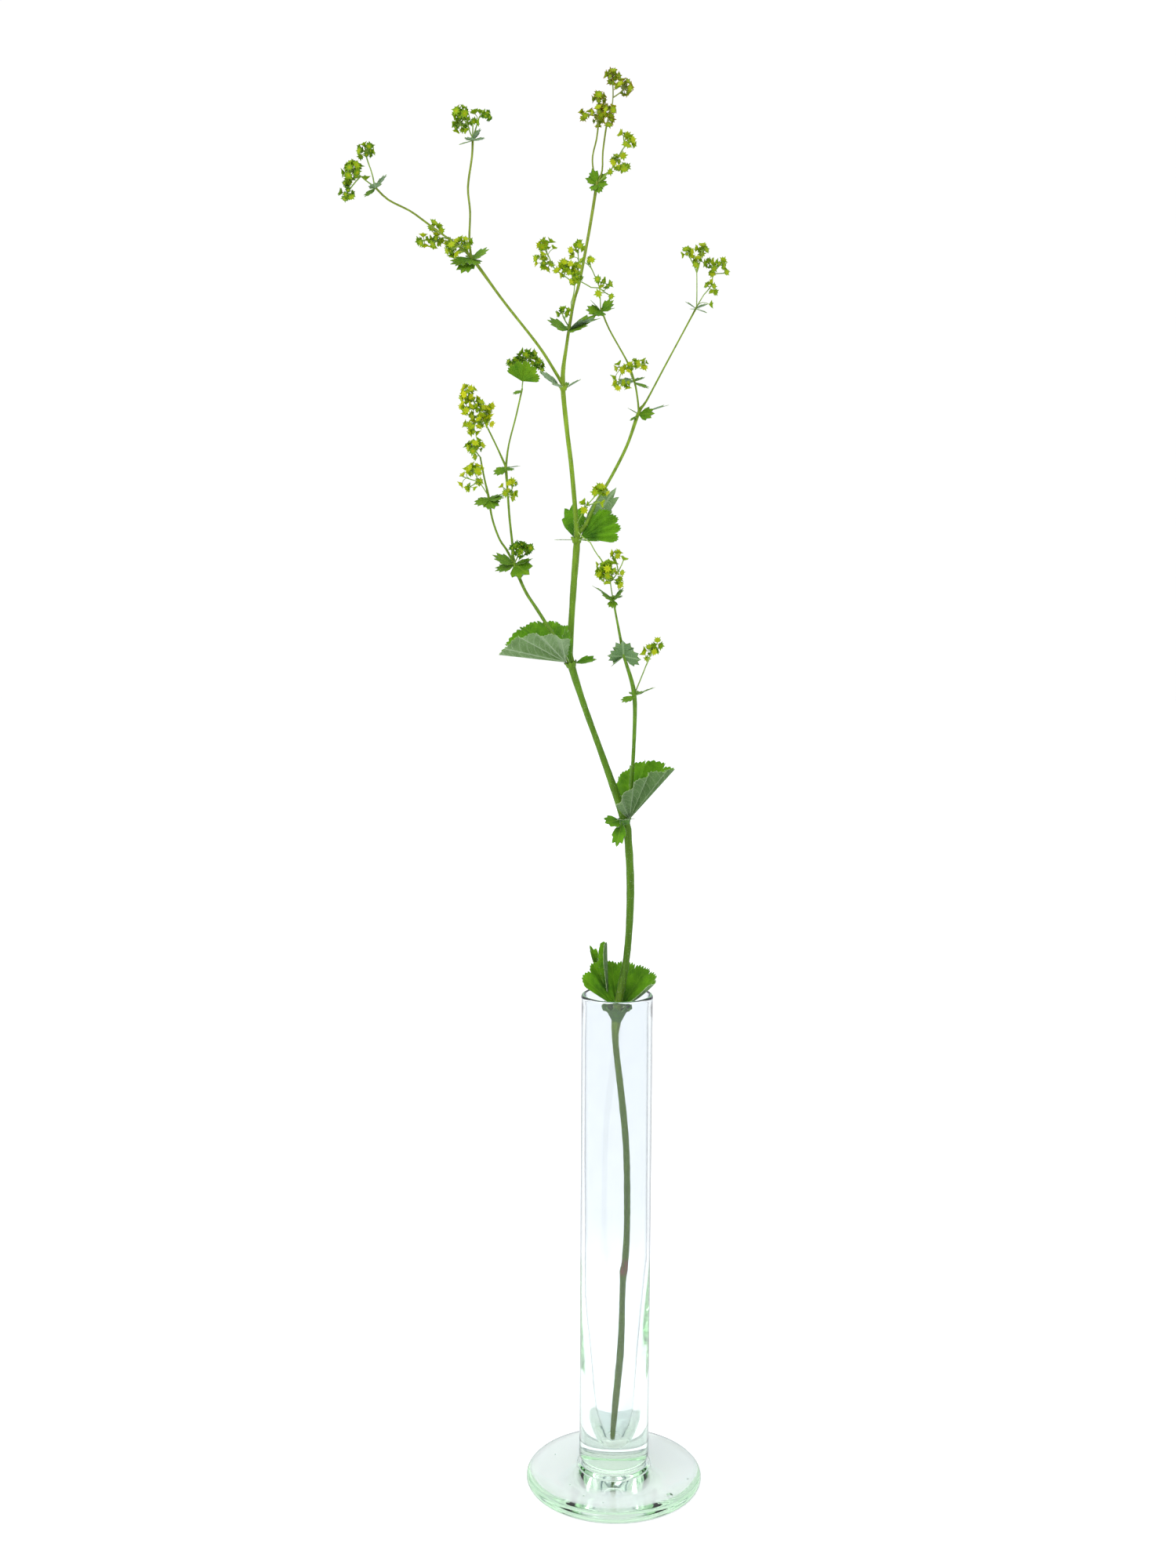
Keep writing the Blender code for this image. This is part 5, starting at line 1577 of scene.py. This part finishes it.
@dataclass
class Sketch:
    """The lines and marked points that a spray grows from, while they are drawn.

    Each point has its stalk's radius and, where it bears a flower, the flower's size, the
    way it faces, its spin, how yellow it is and how rusty.
    """

    draw: random.Random
    rust: float
    points: list[Vector] = field(default_factory=list)
    edges: list[tuple[int, int]] = field(default_factory=list)
    rows: dict[str, list] = field(default_factory=lambda: {
        name: [] for name in ("radius", "bloom_size", "way", "spin", "tone", "rust")})

    def put(self, point: Vector, radius: float, size: float = 0.0, way: Vector = Vector((0, 0, 1)),
            tone: float = 0.5) -> None:
        """Adds a point.

        Args:
            point: its place in millimetres.
            radius: the radius of its stalk.
            size: the size of its flower, or 0 where it bears none.
            way: the way that the flower faces.
            tone: how yellow the flower is.
        """
        self.points.append(point * 0.001)
        for key, value in (("radius", mm(radius)), ("bloom_size", size), ("way", way),
                           ("spin", self.draw.uniform(0, math.tau)), ("tone", tone),
                           ("rust", self.rust)):
            self.rows[key].append(value)

    def stalk(self, start: Vector, way: Vector, end: Vector, thick: float, thin: float) -> None:
        """Adds a stalk.

        Args:
            start: where it starts.
            way: the way it leaves, before it bends to its end.
            end: where it ends.
            thick: its radius at the start.
            thin: its radius at the end.
        """
        reach = (end - start).length
        turn = start + way * reach * 0.5
        count = max(2, min(6, round(reach / 1.5)))
        for index in range(count + 1):
            t = index / count
            if index:
                self.edges.append((len(self.points) - 1, len(self.points)))
            self.put(start * (1 - t) ** 2 + turn * 2 * t * (1 - t) + end * t * t,
                     thick + (thin - thick) * t)

    def build(self) -> Object:
        """Makes the object that the tree reads.

        Returns:
            The object.
        """
        mesh = bpy.data.meshes.new("sketch")
        mesh.from_pydata([tuple(point) for point in self.points], self.edges, [])
        for name, values in self.rows.items():
            if name == "way":
                mesh.attributes.new(name, "FLOAT_VECTOR", "POINT").data.foreach_set(
                    "vector", [v for way in values for v in way])
            else:
                set_values(mesh, name, values)
        return link("sketch", mesh)


@dataclass(frozen=True)
class Spray:
    """A flower spray: its stalks and its heads.

    stalks are the places that stalks run to, each with the number of the one it leaves
    from, or -1 for the root. heads are the middle and number of flowers of each knot, and
    buds is how many smaller flowers it has for each open one, set inside the knot and
    darker green: partly the buds' own greener colour and partly painted shade deep in the
    knot. tone is how yellow and rust how rusty the flowers are, and thickness is the
    radius of the stalks.
    """

    name: str
    root: Point
    stalks: tuple[tuple[Point, int], ...]
    heads: tuple[Point, ...]
    tone: float = 0.5
    rust: float = 0.0
    thickness: float = 0.3
    buds: float = 1.5

    @property
    def node(self) -> str:
        """The CAD node that the spray replaces."""
        return "spray_" + self.name

    def segments(self) -> list[tuple[Vector, Vector]]:
        """The spray's own stalks.

        Returns:
            Start and end of each, in millimetres.
        """
        ends = [Vector(place) for place, _ in self.stalks]
        return [(Vector(self.root) if parent < 0 else ends[parent], end)
                for end, (_, parent) in zip(ends, self.stalks)]

    def joint(self, place: Vector) -> tuple[Vector, Vector]:
        """Where the stalk of a head leaves the stalks.

        Args:
            place: the head's middle.

        Returns:
            The point and the way that the stalk runs there.
        """
        best = None
        for start, end in self.segments():
            way = end - start
            share = min(1.0, max(0.0, (place - start).dot(way) / way.length_squared))
            apart = (start + way * share - place).length
            if best is None or apart < best[0] - 0.01:
                share = max(0.0, share - 0.7 * apart / way.length)
                best = (apart, start + way * share, way.normalized())
        return best[1], best[2]

    def flower(self, sketch: Sketch, kind: Bloom, start: Vector, way: Vector, place: Vector,
               facing: Vector) -> None:
        """Adds a flower and its stalk.

        Args:
            sketch: the sketch that gets them.
            kind: the kind of flower.
            start: where its stalk starts.
            way: the way the stalk leaves.
            place: the flower's middle.
            facing: the way it faces.
        """
        draw = sketch.draw
        sketch.stalk(start, way, place - facing * kind.neck, self.thickness * kind.thick,
                     self.thickness * 0.6)
        sketch.put(place, 0, draw.uniform(*kind.sizes), facing,
                   self.tone + draw.uniform(*kind.tones))

    def head(self, sketch: Sketch, middle: Vector, count: int) -> None:
        """Adds a single flower, or a knot of flowers round a hub.

        Args:
            sketch: the sketch that gets them.
            middle: the middle of the head.
            count: how many open flowers it has.
        """
        draw = sketch.draw
        start, forward = self.joint(middle)
        axis = (middle - start).normalized()
        if count == 1:
            self.flower(sketch, SINGLE, start, forward, middle, axis)
            return
        size = 1.0 + 1.05 * math.sqrt(count)
        hub = middle - axis * size * 0.4
        sketch.stalk(start, forward, hub, self.thickness, self.thickness * 0.85)
        side = axis.orthogonal().normalized()
        other = axis.cross(side)
        spin = draw.uniform(0, math.tau)
        for index in range(count):
            height = 1.0 - 1.35 * (index + 0.5) / count
            ring = math.sqrt(max(0.0, 1.0 - height * height))
            angle = spin + GOLDEN_ANGLE * index
            way = axis * height + ring * (side * math.cos(angle) + other * math.sin(angle))
            place = hub + way * (size * draw.uniform(0.88, 1.12))
            facing = way + Vector([draw.uniform(-0.25, 0.25) for _ in range(3)])
            self.flower(sketch, OPEN, hub, way, place, facing.normalized())
        # Inner buds: darker green, partly their own colour and partly painted shade inside the knot
        for _ in range(round(count * self.buds)):
            way = Vector([draw.gauss(0, 1) for _ in range(3)]).normalized() + axis * 0.3
            way.normalize()
            place = hub + way * size * draw.uniform(0.55, 0.85)
            self.flower(sketch, BUD_GREEN_AND_SHADED, hub, way, place, way)

    def sketch(self, seed: int) -> Object:
        """The spray as lines and marked points, for the tree to grow.

        Args:
            seed: the seed of its small differences.

        Returns:
            The object that the tree reads.
        """
        sketch = Sketch(random.Random(seed), self.rust)
        for start, end in self.segments():
            way = (end - start).normalized()
            side = Vector([sketch.draw.uniform(-1, 1) for _ in range(3)])
            sketch.stalk(start, (way + side * 0.18).normalized(), end, self.thickness * 1.15,
                         self.thickness)
        for x, y, z, count in self.heads:
            self.head(sketch, Vector((x, y, z)), count)
        return sketch.build()

    def build(self, tree: NodeTree, values: dict[str, object], seed: int) -> Object:
        """Grows the spray.

        Args:
            tree: the tree that grows it.
            values: the tree's named inputs.
            seed: the seed of its small differences.

        Returns:
            The spray, in place of its node.
        """
        mesh = grow(self.sketch(seed), tree, values)
        return join("flowers_" + self.name, [mesh])


SPRAYS: tuple[Spray, ...] = (
    Spray("far_left", (-109.3, -43, 622), (
        ((-111.5, -43.6, 631), -1), ((-113, -44, 636), 0), ((-115, -44.5, 626), -1),
        ((-118.5, -47, 628), 2), ((-121, -42, 624), 2), ((-121, -46.5, 618), 2)),
        ((-113, -44, 638, 8), (-119, -47.5, 629, 12), (-121, -42, 624, 5), (-121, -46, 617, 5),
         (-113, -44, 626, 1)), 0.3, 0.12),
    Spray("left_top", (-68.4, -14, 649.5), (
        ((-71, -14, 656), -1), ((-74, -16, 660), 0), ((-74.5, -11, 656), 0),
        ((-68, -17, 656), -1), ((-65.5, -13, 659), -1), ((-62, -17, 659), 4)),
        ((-74, -16, 661, 8), (-74, -11, 656, 8), (-68, -16, 657, 3), (-68, -12, 662, 1),
         (-65, -14, 662, 1), (-62, -17, 659, 5)), 0.4, 0.05),
    Spray("left_fork", (-68.7, -25.4, 599), (
        ((-73, -22.5, 600.5), -1), ((-81, -23, 604), 0), ((-84, -26, 602), 1),
        ((-89, -27.5, 602), 2), ((-84.5, -25, 607), 2)),
        ((-82, -24.5, 607.5, 2), (-86, -26.5, 609, 2), (-90.5, -27.5, 602, 4),
         (-85, -25, 601.5, 5), (-80, -23, 602, 3), (-75, -22.5, 600, 3)), 0.5, 0.08),
    Spray("fork_side", (-69.5, -26, 596.4), (
        ((-71, -31, 600), -1), ((-76, -33, 597), 0)),
        ((-77, -33, 597, 6), (-70, -31, 601, 5)), 0.45, 0.08),
    Spray("crown_left", (-11.8, 5, 659.5), (
        ((-12, 6, 664), -1), ((-16, 5.5, 665), 0), ((-11.5, 3.5, 671), 0)),
        ((-19, 6, 665, 3), (-16, 5, 667, 1), (-11, 4, 673, 6), (-11, 2, 666, 5),
         (-11, 6, 663, 4)), 0.45, 0.75),
    Spray("crown_right", (-7.8, 1.2, 659.5), (
        ((-6.5, -1, 663.5), -1), ((-5, 0, 671), 0), ((-5.5, 2, 680), 1), ((0, -2, 674), 1)),
        ((-7, -1, 666, 5), (-6, -1, 661, 3), (-5, 2, 682, 6), (-4, 1, 678, 1),
         (1, -2, 676, 8)), 0.4, 0.8),
    Spray("crown_side", (-12, 6.7, 634.6), (
        ((-5, 0.5, 640), -1), ((-2, -4, 639), 0), ((-2, 0, 645), 0), ((0.5, -5, 648), 2),
        ((0, -6, 652), 3), ((3.5, -8, 650), 3)),
        ((0, -6, 653.5, 2), (4, -8, 650, 4), (1, -7, 649, 1), (0, -5, 644, 1), (-4, 0, 644, 3),
         (-2, -4, 639, 5), (1, -6, 639, 2), (-6, 0, 638, 1)), 0.52, 0.2),
    Spray("axis", (-24.2, -0.9, 569), (
        ((-24, 5.5, 580), -1), ((-22.5, 8, 589), 0), ((-24, 7, 595), 1), ((-20.5, 10.5, 598), 1),
        ((-26.5, 9, 599), 1), ((-21, 9.5, 605), 3), ((-30, 6.5, 594), 1), ((-33, 7, 597), 6),
        ((-37, 7, 599), 7), ((-36, 8.5, 604), 7)),
        ((-38, 6, 607, 3), (-36, 9, 608, 4), (-32, 8, 606, 1), (-39.5, 4, 601, 2),
         (-37, 8, 599, 3), (-41, 6, 598, 1), (-35, 10, 598, 2), (-33, 7, 598, 1),
         (-31, 6, 595, 1), (-28, 8, 598, 4), (-27, 5, 594, 2), (-24, 7, 605, 2),
         (-20, 9, 607, 3), (-24, 8, 602, 1), (-24, 7, 598, 2), (-22, 10, 597, 3),
         (-23, 7, 594, 2)), 0.62, 0.05, 0.26),
    Spray("axis_bud", (-24.8, -1.1, 568), (
        ((-27.5, -7, 572), -1),), ((-28, -8, 574, 3), (-24.5, -7.5, 575, 1)), 0.25, 0.0),
    Spray("curl", (-10.1, 2, 577), (
        ((-10.5, -5, 585), -1), ((-8, -6, 587), 0), ((-15, -13, 594), 0),
        ((-14.5, -9.5, 584.5), 0), ((-21, -15, 587), 3), ((-6, -10, 581), 0)),
        ((-23, -16, 587, 3), (-20, -18, 588, 2), (-19, -14, 596, 1), (-15, -15, 596, 2),
         (-10, -13, 586.5, 2), (-7, -12, 586, 2), (-11, -14, 581, 1), (-5, -12, 580, 1)),
        0.5, 0.05, 0.26),
    Spray("right_top", (36.4, 41, 583.5), (
        ((36.3, 42, 600), -1), ((32, 40, 608), 0), ((39, 44, 611), 0), ((36.5, 40, 605), 0),
        ((40, 40, 589.5), -1), ((43.5, 42, 594), 4), ((44, 45, 600), 5), ((43.5, 44, 604), 6),
        ((48, 41, 604), 6), ((50.5, 43, 600), 6)),
        ((31, 40, 610, 4), (39, 44, 612, 5), (34, 42, 608, 1), (36, 42, 606, 3),
         (42, 45, 606, 3), (44, 42, 603, 2), (48, 41, 605, 3), (51, 43, 602, 1),
         (51, 41, 600, 1), (44, 45, 600, 2), (43, 43, 596, 1), (43, 42, 593, 3),
         (46, 44, 591, 1), (44, 42, 585, 1)), 0.55, 0.1, 0.26),
    Spray("right_low", (5.8, 14.4, 545), (
        ((3.5, 9, 550), -1), ((-2, 9.5, 551), 0), ((7, 12, 552), 0), ((11, 14.5, 553), 2)),
        ((-3, 8.5, 550, 1), (-2, 9, 553, 1), (1, 8, 550.5, 1), (0, 7.5, 549, 1),
         (4, 7, 551, 2), (6, 17, 554, 2), (7, 12, 551.5, 2), (11, 15, 553, 2),
         (-4, 9, 545.5, 1), (-2, 8, 541.5, 2), (2, 7, 542.5, 2)), 0.6, 0.0, 0.26),
    Spray("fan", (-48.9, 40, 544), (
        ((-48, 45, 551), -1), ((-50.5, 44, 557), 0), ((-54, 43, 556), 0), ((-45, 46, 560), 0),
        ((-41, 43.5, 556), 0)),
        ((-54, 42.5, 557, 4), (-51, 45, 559, 5), (-48, 42, 561.5, 4), (-45, 46, 561.5, 5),
         (-42, 44, 558, 4), (-39.5, 44, 555, 4)), 0.32, 0.0),
    Spray("gold", (-64.4, 22.2, 523), (
        ((-67, 20.5, 528.5), -1), ((-64.5, 22, 532), 0), ((-71.5, 19, 524.5), 0),
        ((-71.5, 21, 529), 0), ((-70, 19, 534), 0), ((-75, 17, 532), 4), ((-74, 19.5, 540), 4),
        ((-66.5, 22, 535), 4)),
        ((-74, 18, 541, 7), (-76, 20, 538, 3), (-75, 16, 532, 5), (-71, 22, 536, 4),
         (-68, 18, 532, 4), (-65, 22, 530, 5), (-67, 20, 535, 2), (-63, 22, 534, 2),
         (-64, 20, 527, 3), (-67, 17, 525, 4), (-71, 22, 528, 4), (-74, 20, 524, 3),
         (-71, 18, 521, 3)), 0.75, 0.0),
    Spray("tight", (-66.4, 0, 508), (
        ((-69, -1, 511), -1),), ((-69, -1, 514, 9), (-73, 0, 514, 1), (-69, -2, 508, 1)), 0.45),
    Spray("loose", (-62.9, 4, 490), (
        ((-67, -2, 496.5), -1), ((-69, -2, 501), 0), ((-75, 0, 499), 0), ((-71, -4, 494), 0)),
        ((-69, -2, 503, 8), (-73, 1, 503, 1), (-75, -1, 500, 1), (-67, -2, 497, 2),
         (-76, 0, 495, 1), (-71, -4, 493, 2)), 0.65, 0.0, 0.26),
    Spray("shoot", (-54.8, 23.4, 490.5), (
        ((-53.5, 20, 492), -1), ((-57, 18.5, 495), 0), ((-52, 19.5, 497), 0)),
        ((-58, 19, 496, 1), (-54, 17, 497, 1), (-52, 20, 498, 2), (-56, 17, 492, 1),
         (-53, 19, 492, 2), (-52, 22, 490, 1), (-50, 20, 492, 1)), 0.6, 0.0, 0.26),
    Spray("fork", (-51.3, 15.3, 458.4), (
        ((-48, 9, 464.5), -1), ((-44.5, 11, 465), 0)),
        ((-48, 8, 467, 5), (-44.5, 11, 466, 5), (-49, 7, 463, 3), (-51, 7, 466, 2)), 0.12, 0.0),
    Spray("high", (-20.8, -6, 476.5), (
        ((-16, -13, 485), -1), ((-9.5, -11.5, 487), 0), ((-10, -9, 492), 0)),
        ((-11, -10, 493, 3), (-9, -7, 494, 2), (-7, -9, 492, 2), (-8, -12, 486, 1),
         (-17, -14, 486, 2), (-17, -12, 483, 1)), 0.62, 0.0, 0.26),
    Spray("hanging", (-20.6, -6, 474), (
        ((-14, -16.5, 468), -1), ((-8.5, -16.5, 459.5), 0)),
        ((-8, -16.5, 457.5, 3), (-6, -17, 456.5, 2)), 0.5, 0.0, 0.26),
    Spray("low_top", (-3.4, -31, 443), (
        ((-4.5, -33, 450), -1), ((-8.5, -35, 453), 0), ((-5.5, -37, 456), 0),
        ((-1, -34, 454.5), 0), ((-2.5, -34, 461), 3), ((1.5, -36, 460), 3)),
        ((-2, -34, 463, 3), (2, -36, 461, 1), (-2, -34, 459, 1), (-6, -38, 457, 5),
         (-9, -34, 455, 4), (-7, -38, 452, 4), (-4, -32, 454, 3), (1, -36, 454, 1),
         (0, -35, 450, 2)), 0.55, 0.0, 0.26),
    Spray("low_side", (7, -16, 397.5), (
        ((12.5, -12, 411), -1), ((15, -10.5, 417), 0)),
        ((15, -10, 419, 6), (18, -11, 422, 2), (11, -10, 417, 1), (13, -8, 414, 1)), 0.5),
)


# Studio

@dataclass(frozen=True)
class Lamp:
    """A square soft light: its place, its power in watts and its width in metres."""

    name: str
    place: Point
    power: float
    width: float


@dataclass
class Studio:
    """The plain studio: a pale floor, soft light and the camera of the photograph."""

    camera_place: Point = (0.0, -824.26, 450.87)
    pitch: float = 6.762
    yaw: float = -1.028
    roll: float = 0.30
    lens: float = 39.573
    film: float = 36.0
    # Just under the vase, so that the two don't touch
    floor_level: float = -0.02
    floor_radius: float = 6000.0
    floor_sides: int = 64
    lamps: tuple[Lamp, ...] = (Lamp("key light", (-900.0, -900.0, 1700.0), 18.0, 1.2),
                               Lamp("fill light", (1200.0, -500.0, 1300.0), 4.0, 1.6))
    aim: Point = (0.0, 0.0, 350.0)
    # The camera sees white a little brighter than the tent that lights the object
    tent: float = 0.95
    backdrop: float = 1.02
    panels: float = 4.0
    # Light that runs round inside the thick glass turns black if it is cut off after 12
    bounces: int = 40

    def camera(self) -> None:
        """Sets the camera, whose film is measured along the photograph's longer side."""
        pitch, yaw, roll = (math.radians(v) for v in (self.pitch, self.yaw, self.roll))
        forward = Vector((math.sin(yaw) * math.cos(pitch), math.cos(yaw) * math.cos(pitch),
                          -math.sin(pitch)))
        right = Vector((math.cos(yaw), -math.sin(yaw), 0.0))
        up = right.cross(forward)
        turned = right * math.cos(roll) + up * math.sin(roll)
        above = up * math.cos(roll) - right * math.sin(roll)
        data = bpy.data.cameras.new("camera")
        data.lens = self.lens
        data.sensor_width = self.film
        data.clip_start = 0.01
        camera = bpy.data.objects.new("camera", data)
        bpy.context.scene.collection.objects.link(camera)
        camera.matrix_world = Matrix.Translation(spot(self.camera_place)) @ Matrix(
            (turned, above, -forward)).transposed().to_4x4()
        bpy.context.scene.camera = camera

    def floor(self, paper: Material) -> None:
        """Lays the floor.

        Args:
            paper: its material.
        """
        shell = Shell()
        sides = self.floor_sides
        for radius in (self.floor_radius, self.floor_radius * 0.25):
            shell.points += circle(radius, self.floor_level, sides)
        shell.bridge(0, sides, sides)
        shell.add(tuple(range(sides, 2 * sides)))
        floor = shell.build("floor", [paper])

    def lights(self) -> None:
        """Hangs the soft lights."""
        for lamp in self.lamps:
            data = bpy.data.lights.new(lamp.name, "AREA")
            data.energy = lamp.power
            data.size = lamp.width
            light = bpy.data.objects.new(lamp.name, data)
            bpy.context.scene.collection.objects.link(light)
            light.location = spot(lamp.place)
            way = spot(self.aim) - light.location
            light.rotation_euler = way.to_track_quat("-Z", "Y").to_euler()

    def surroundings(self) -> None:
        """Makes the white tent about the object, with narrow grey seams that edge the glass."""
        world = bpy.data.worlds.new("white tent")
        world.use_nodes = True
        tree = world.node_tree
        tree.nodes.clear()
        way = add_node(tree, "ShaderNodeTexCoord").outputs["Generated"]
        around = add_node(tree, "ShaderNodeTexGradient", {"Vector": way}, gradient_type="RADIAL")
        panels = add_node(tree, "ShaderNodeMath", {0: around.outputs["Fac"], 1: self.panels},
                          operation="MULTIPLY")
        across = add_node(tree, "ShaderNodeMath", {0: panels, 1: 0.5}, operation="PINGPONG")
        seam = fill_ramp(add_node(tree, "ShaderNodeValToRGB", {0: across}),
                         ((0.0, "#fbfcfe"), (0.43, "#f1f5fa"), (0.48, "#7f8c99")))
        tent = add_node(tree, "ShaderNodeBackground", {"Color": seam, "Strength": self.tent})
        white = add_node(tree, "ShaderNodeBackground",
                         {"Color": linear("#ffffff"), "Strength": self.backdrop})
        path = add_node(tree, "ShaderNodeLightPath")
        mixed = add_node(tree, "ShaderNodeMixShader",
                         {0: path.outputs["Is Camera Ray"], 1: tent, 2: white})
        add_node(tree, "ShaderNodeOutputWorld", {"Surface": mixed})
        scene = bpy.context.scene
        scene.world = world
        scene.view_settings.view_transform = "Standard"
        for limit in ("max_bounces", "glossy_bounces", "transmission_bounces"):
            setattr(scene.cycles, limit, self.bounces)


def carry(piece: Object, slot: Slot, *nodes: str) -> None:
    """Gives a finished piece its body and hides the CAD nodes it stands for.

    Args:
        piece: the finished piece.
        slot: the record's material slot; it is not used.
        nodes: the CAD nodes it replaces, if any.
    """
    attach(piece, "root")
    if nodes:
        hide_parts(*nodes)
    piece.data.calc_loop_triangles()
    log.info("%s: %d triangles", piece.name, len(piece.data.loop_triangles))


def hair_cone(radius: float = 0.045) -> Object:
    """One hair, one unit long: a slender cone with three sides.

    Args:
        radius: its radius at the root.

    Returns:
        The hair, along +Z.
    """
    points = [(radius * math.cos(a), radius * math.sin(a), 0.0)
              for a in (0.0, math.tau / 3, 2 * math.tau / 3)]
    mesh = bpy.data.meshes.new("hair")
    mesh.from_pydata([*points, (0.0, 0.0, 1.0)], [], [(2, 1, 0), (0, 1, 3), (1, 2, 3), (2, 0, 3)])
    return link("hair", mesh)


FLOWER_RADIUS = 2.35
FIRST_HAIR_SEED = 3
FIRST_SPRAY_SEED = 20


@dataclass(frozen=True)
class Fuzz:
    """The hairs of a finished piece.

    face is the surface that bears them, or None for all, density how many stand on a
    square millimetre, and shortest and longest are their lengths.
    """

    piece: Object
    face: Face | None
    density: float
    shortest: float
    longest: float


def hairy(name: str, coats: list[Fuzz], tree: NodeTree, hair: Object, finish: Material) -> Object:
    """Hairs on the surfaces of finished pieces.

    Args:
        name: the new piece's name.
        coats: where the hairs stand.
        tree: the tree that grows them.
        hair: the hair that is repeated.
        finish: its material.

    Returns:
        All the hairs in one object.
    """
    meshes = []
    for seed, coat in enumerate(coats, FIRST_HAIR_SEED):
        surface = bmesh.new()
        surface.from_mesh(coat.piece.data)
        if coat.face is not None:
            other = [face for face in surface.faces if face.material_index != coat.face]
            bmesh.ops.delete(surface, geom=other, context="FACES")
        mesh = bpy.data.meshes.new("surface")
        surface.to_mesh(mesh)
        surface.free()
        meshes.append(grow(link("surface", mesh), tree, {
            "Hairs Per Square Metre": coat.density * 1e6, "Hair": hair,
            "Shortest": mm(coat.shortest), "Longest": mm(coat.longest),
            "Seed": seed, "Material": finish}))
    return join(name, meshes)


def main() -> None:
    """Builds the vase and the plant, dresses them and sets the studio."""
    logging.basicConfig(level=logging.INFO, format="%(name)s: %(message)s")
    studio = Studio()
    studio.camera()
    studio.floor(WhitePaper("matt white paper", 0.9).make())
    studio.lights()
    studio.surroundings()

    glass = SodaLimeGlass("blown soda-lime glass", 0.015).make()
    stem_green = LivingStem("living stem", 0.5).make()
    leaf = [
        LivingLeaf("living leaf, upper face", 0.6, Face.UPPER, "#245408", "#629a0c",
                   "#6f9a26", 0.02).make(),
        LivingLeaf("living leaf, under face", 0.75, Face.UNDER, "#47682c", "#71905a",
                   "#8ea67c", 0.25).make(),
        LeafEdge("leaf margin", 0.7, "#5f8430", "#a9bd8c").make(),
        LivingStem("leaf sheath", 0.6).make()]
    shaded = [leaf[0],
              LivingLeaf("shaded leaf, under face", 0.7, Face.UNDER, "#365820", "#577840",
                         "#748e5c", 0.15).make(), leaf[2],
              LeafEdge("sheath of a shaded leaf", 0.7, "#2c5c08", "#4a7c12").make()]
    bract = [
        LivingLeaf("living bract, upper face", 0.6, Face.UPPER, "#3a700a", "#6c960e",
                   "#7a9c28", 0.02).make(),
        LivingLeaf("living bract, under face", 0.7, Face.UNDER, "#436a30", "#68885a",
                   "#84a070", 0.2).make(),
        LeafEdge("bract margin", 0.7, "#56801c", "#8ba848").make(),
        leaf[3]]
    silk = SilkyHair("silky plant hair", 0.6).make()

    carry(Vase().build(glass), Slot.GLASS, "vase")

    stem = Stem()
    tubes = stem.tubes(tube_tree(), stem_green)
    carry(tubes, Slot.STEM, "stem")
    bracts = stem.leaflets(bract[:3])
    carry(bracts, Slot.STEM, "stem")

    hair, hairs = hair_cone(), hair_tree()
    coats = [Fuzz(tubes, None, 0.7, 0.3, 0.8), Fuzz(bracts, Face.MARGIN, 4.0, 0.2, 0.5)]
    finishes = {"leaf_1": shaded, "leaf_2": shaded, "leaf_5": bract}
    for item in LEAVES:
        piece = item.build(finishes.get(item.node, leaf))
        carry(piece, Slot.LEAF, item.node)
        coats += [Fuzz(piece, Face.MARGIN, 9.0, 0.3, 0.8), Fuzz(piece, Face.UNDER, 1.2, 0.2, 0.5)]

    flower = Flower().build()
    values = {"Flower": flower, "Flower Radius": mm(FLOWER_RADIUS),
              "Stalk Material": FlowerStalk("flower stalk", 0.5).make(),
              "Flower Material": LivingFlower("living flower", 0.55).make()}
    sprays = spray_tree()
    for seed, spray in enumerate(SPRAYS, FIRST_SPRAY_SEED):
        carry(spray.build(sprays, values, seed), Slot.FLOWER, spray.node)

    carry(hairy("silky_hairs", coats, hairs, hair, silk), Slot.STEM)
    for helper in (hair, flower):
        bpy.data.objects.remove(helper, do_unlink=True)

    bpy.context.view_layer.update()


if __name__ == "__main__":
    main()
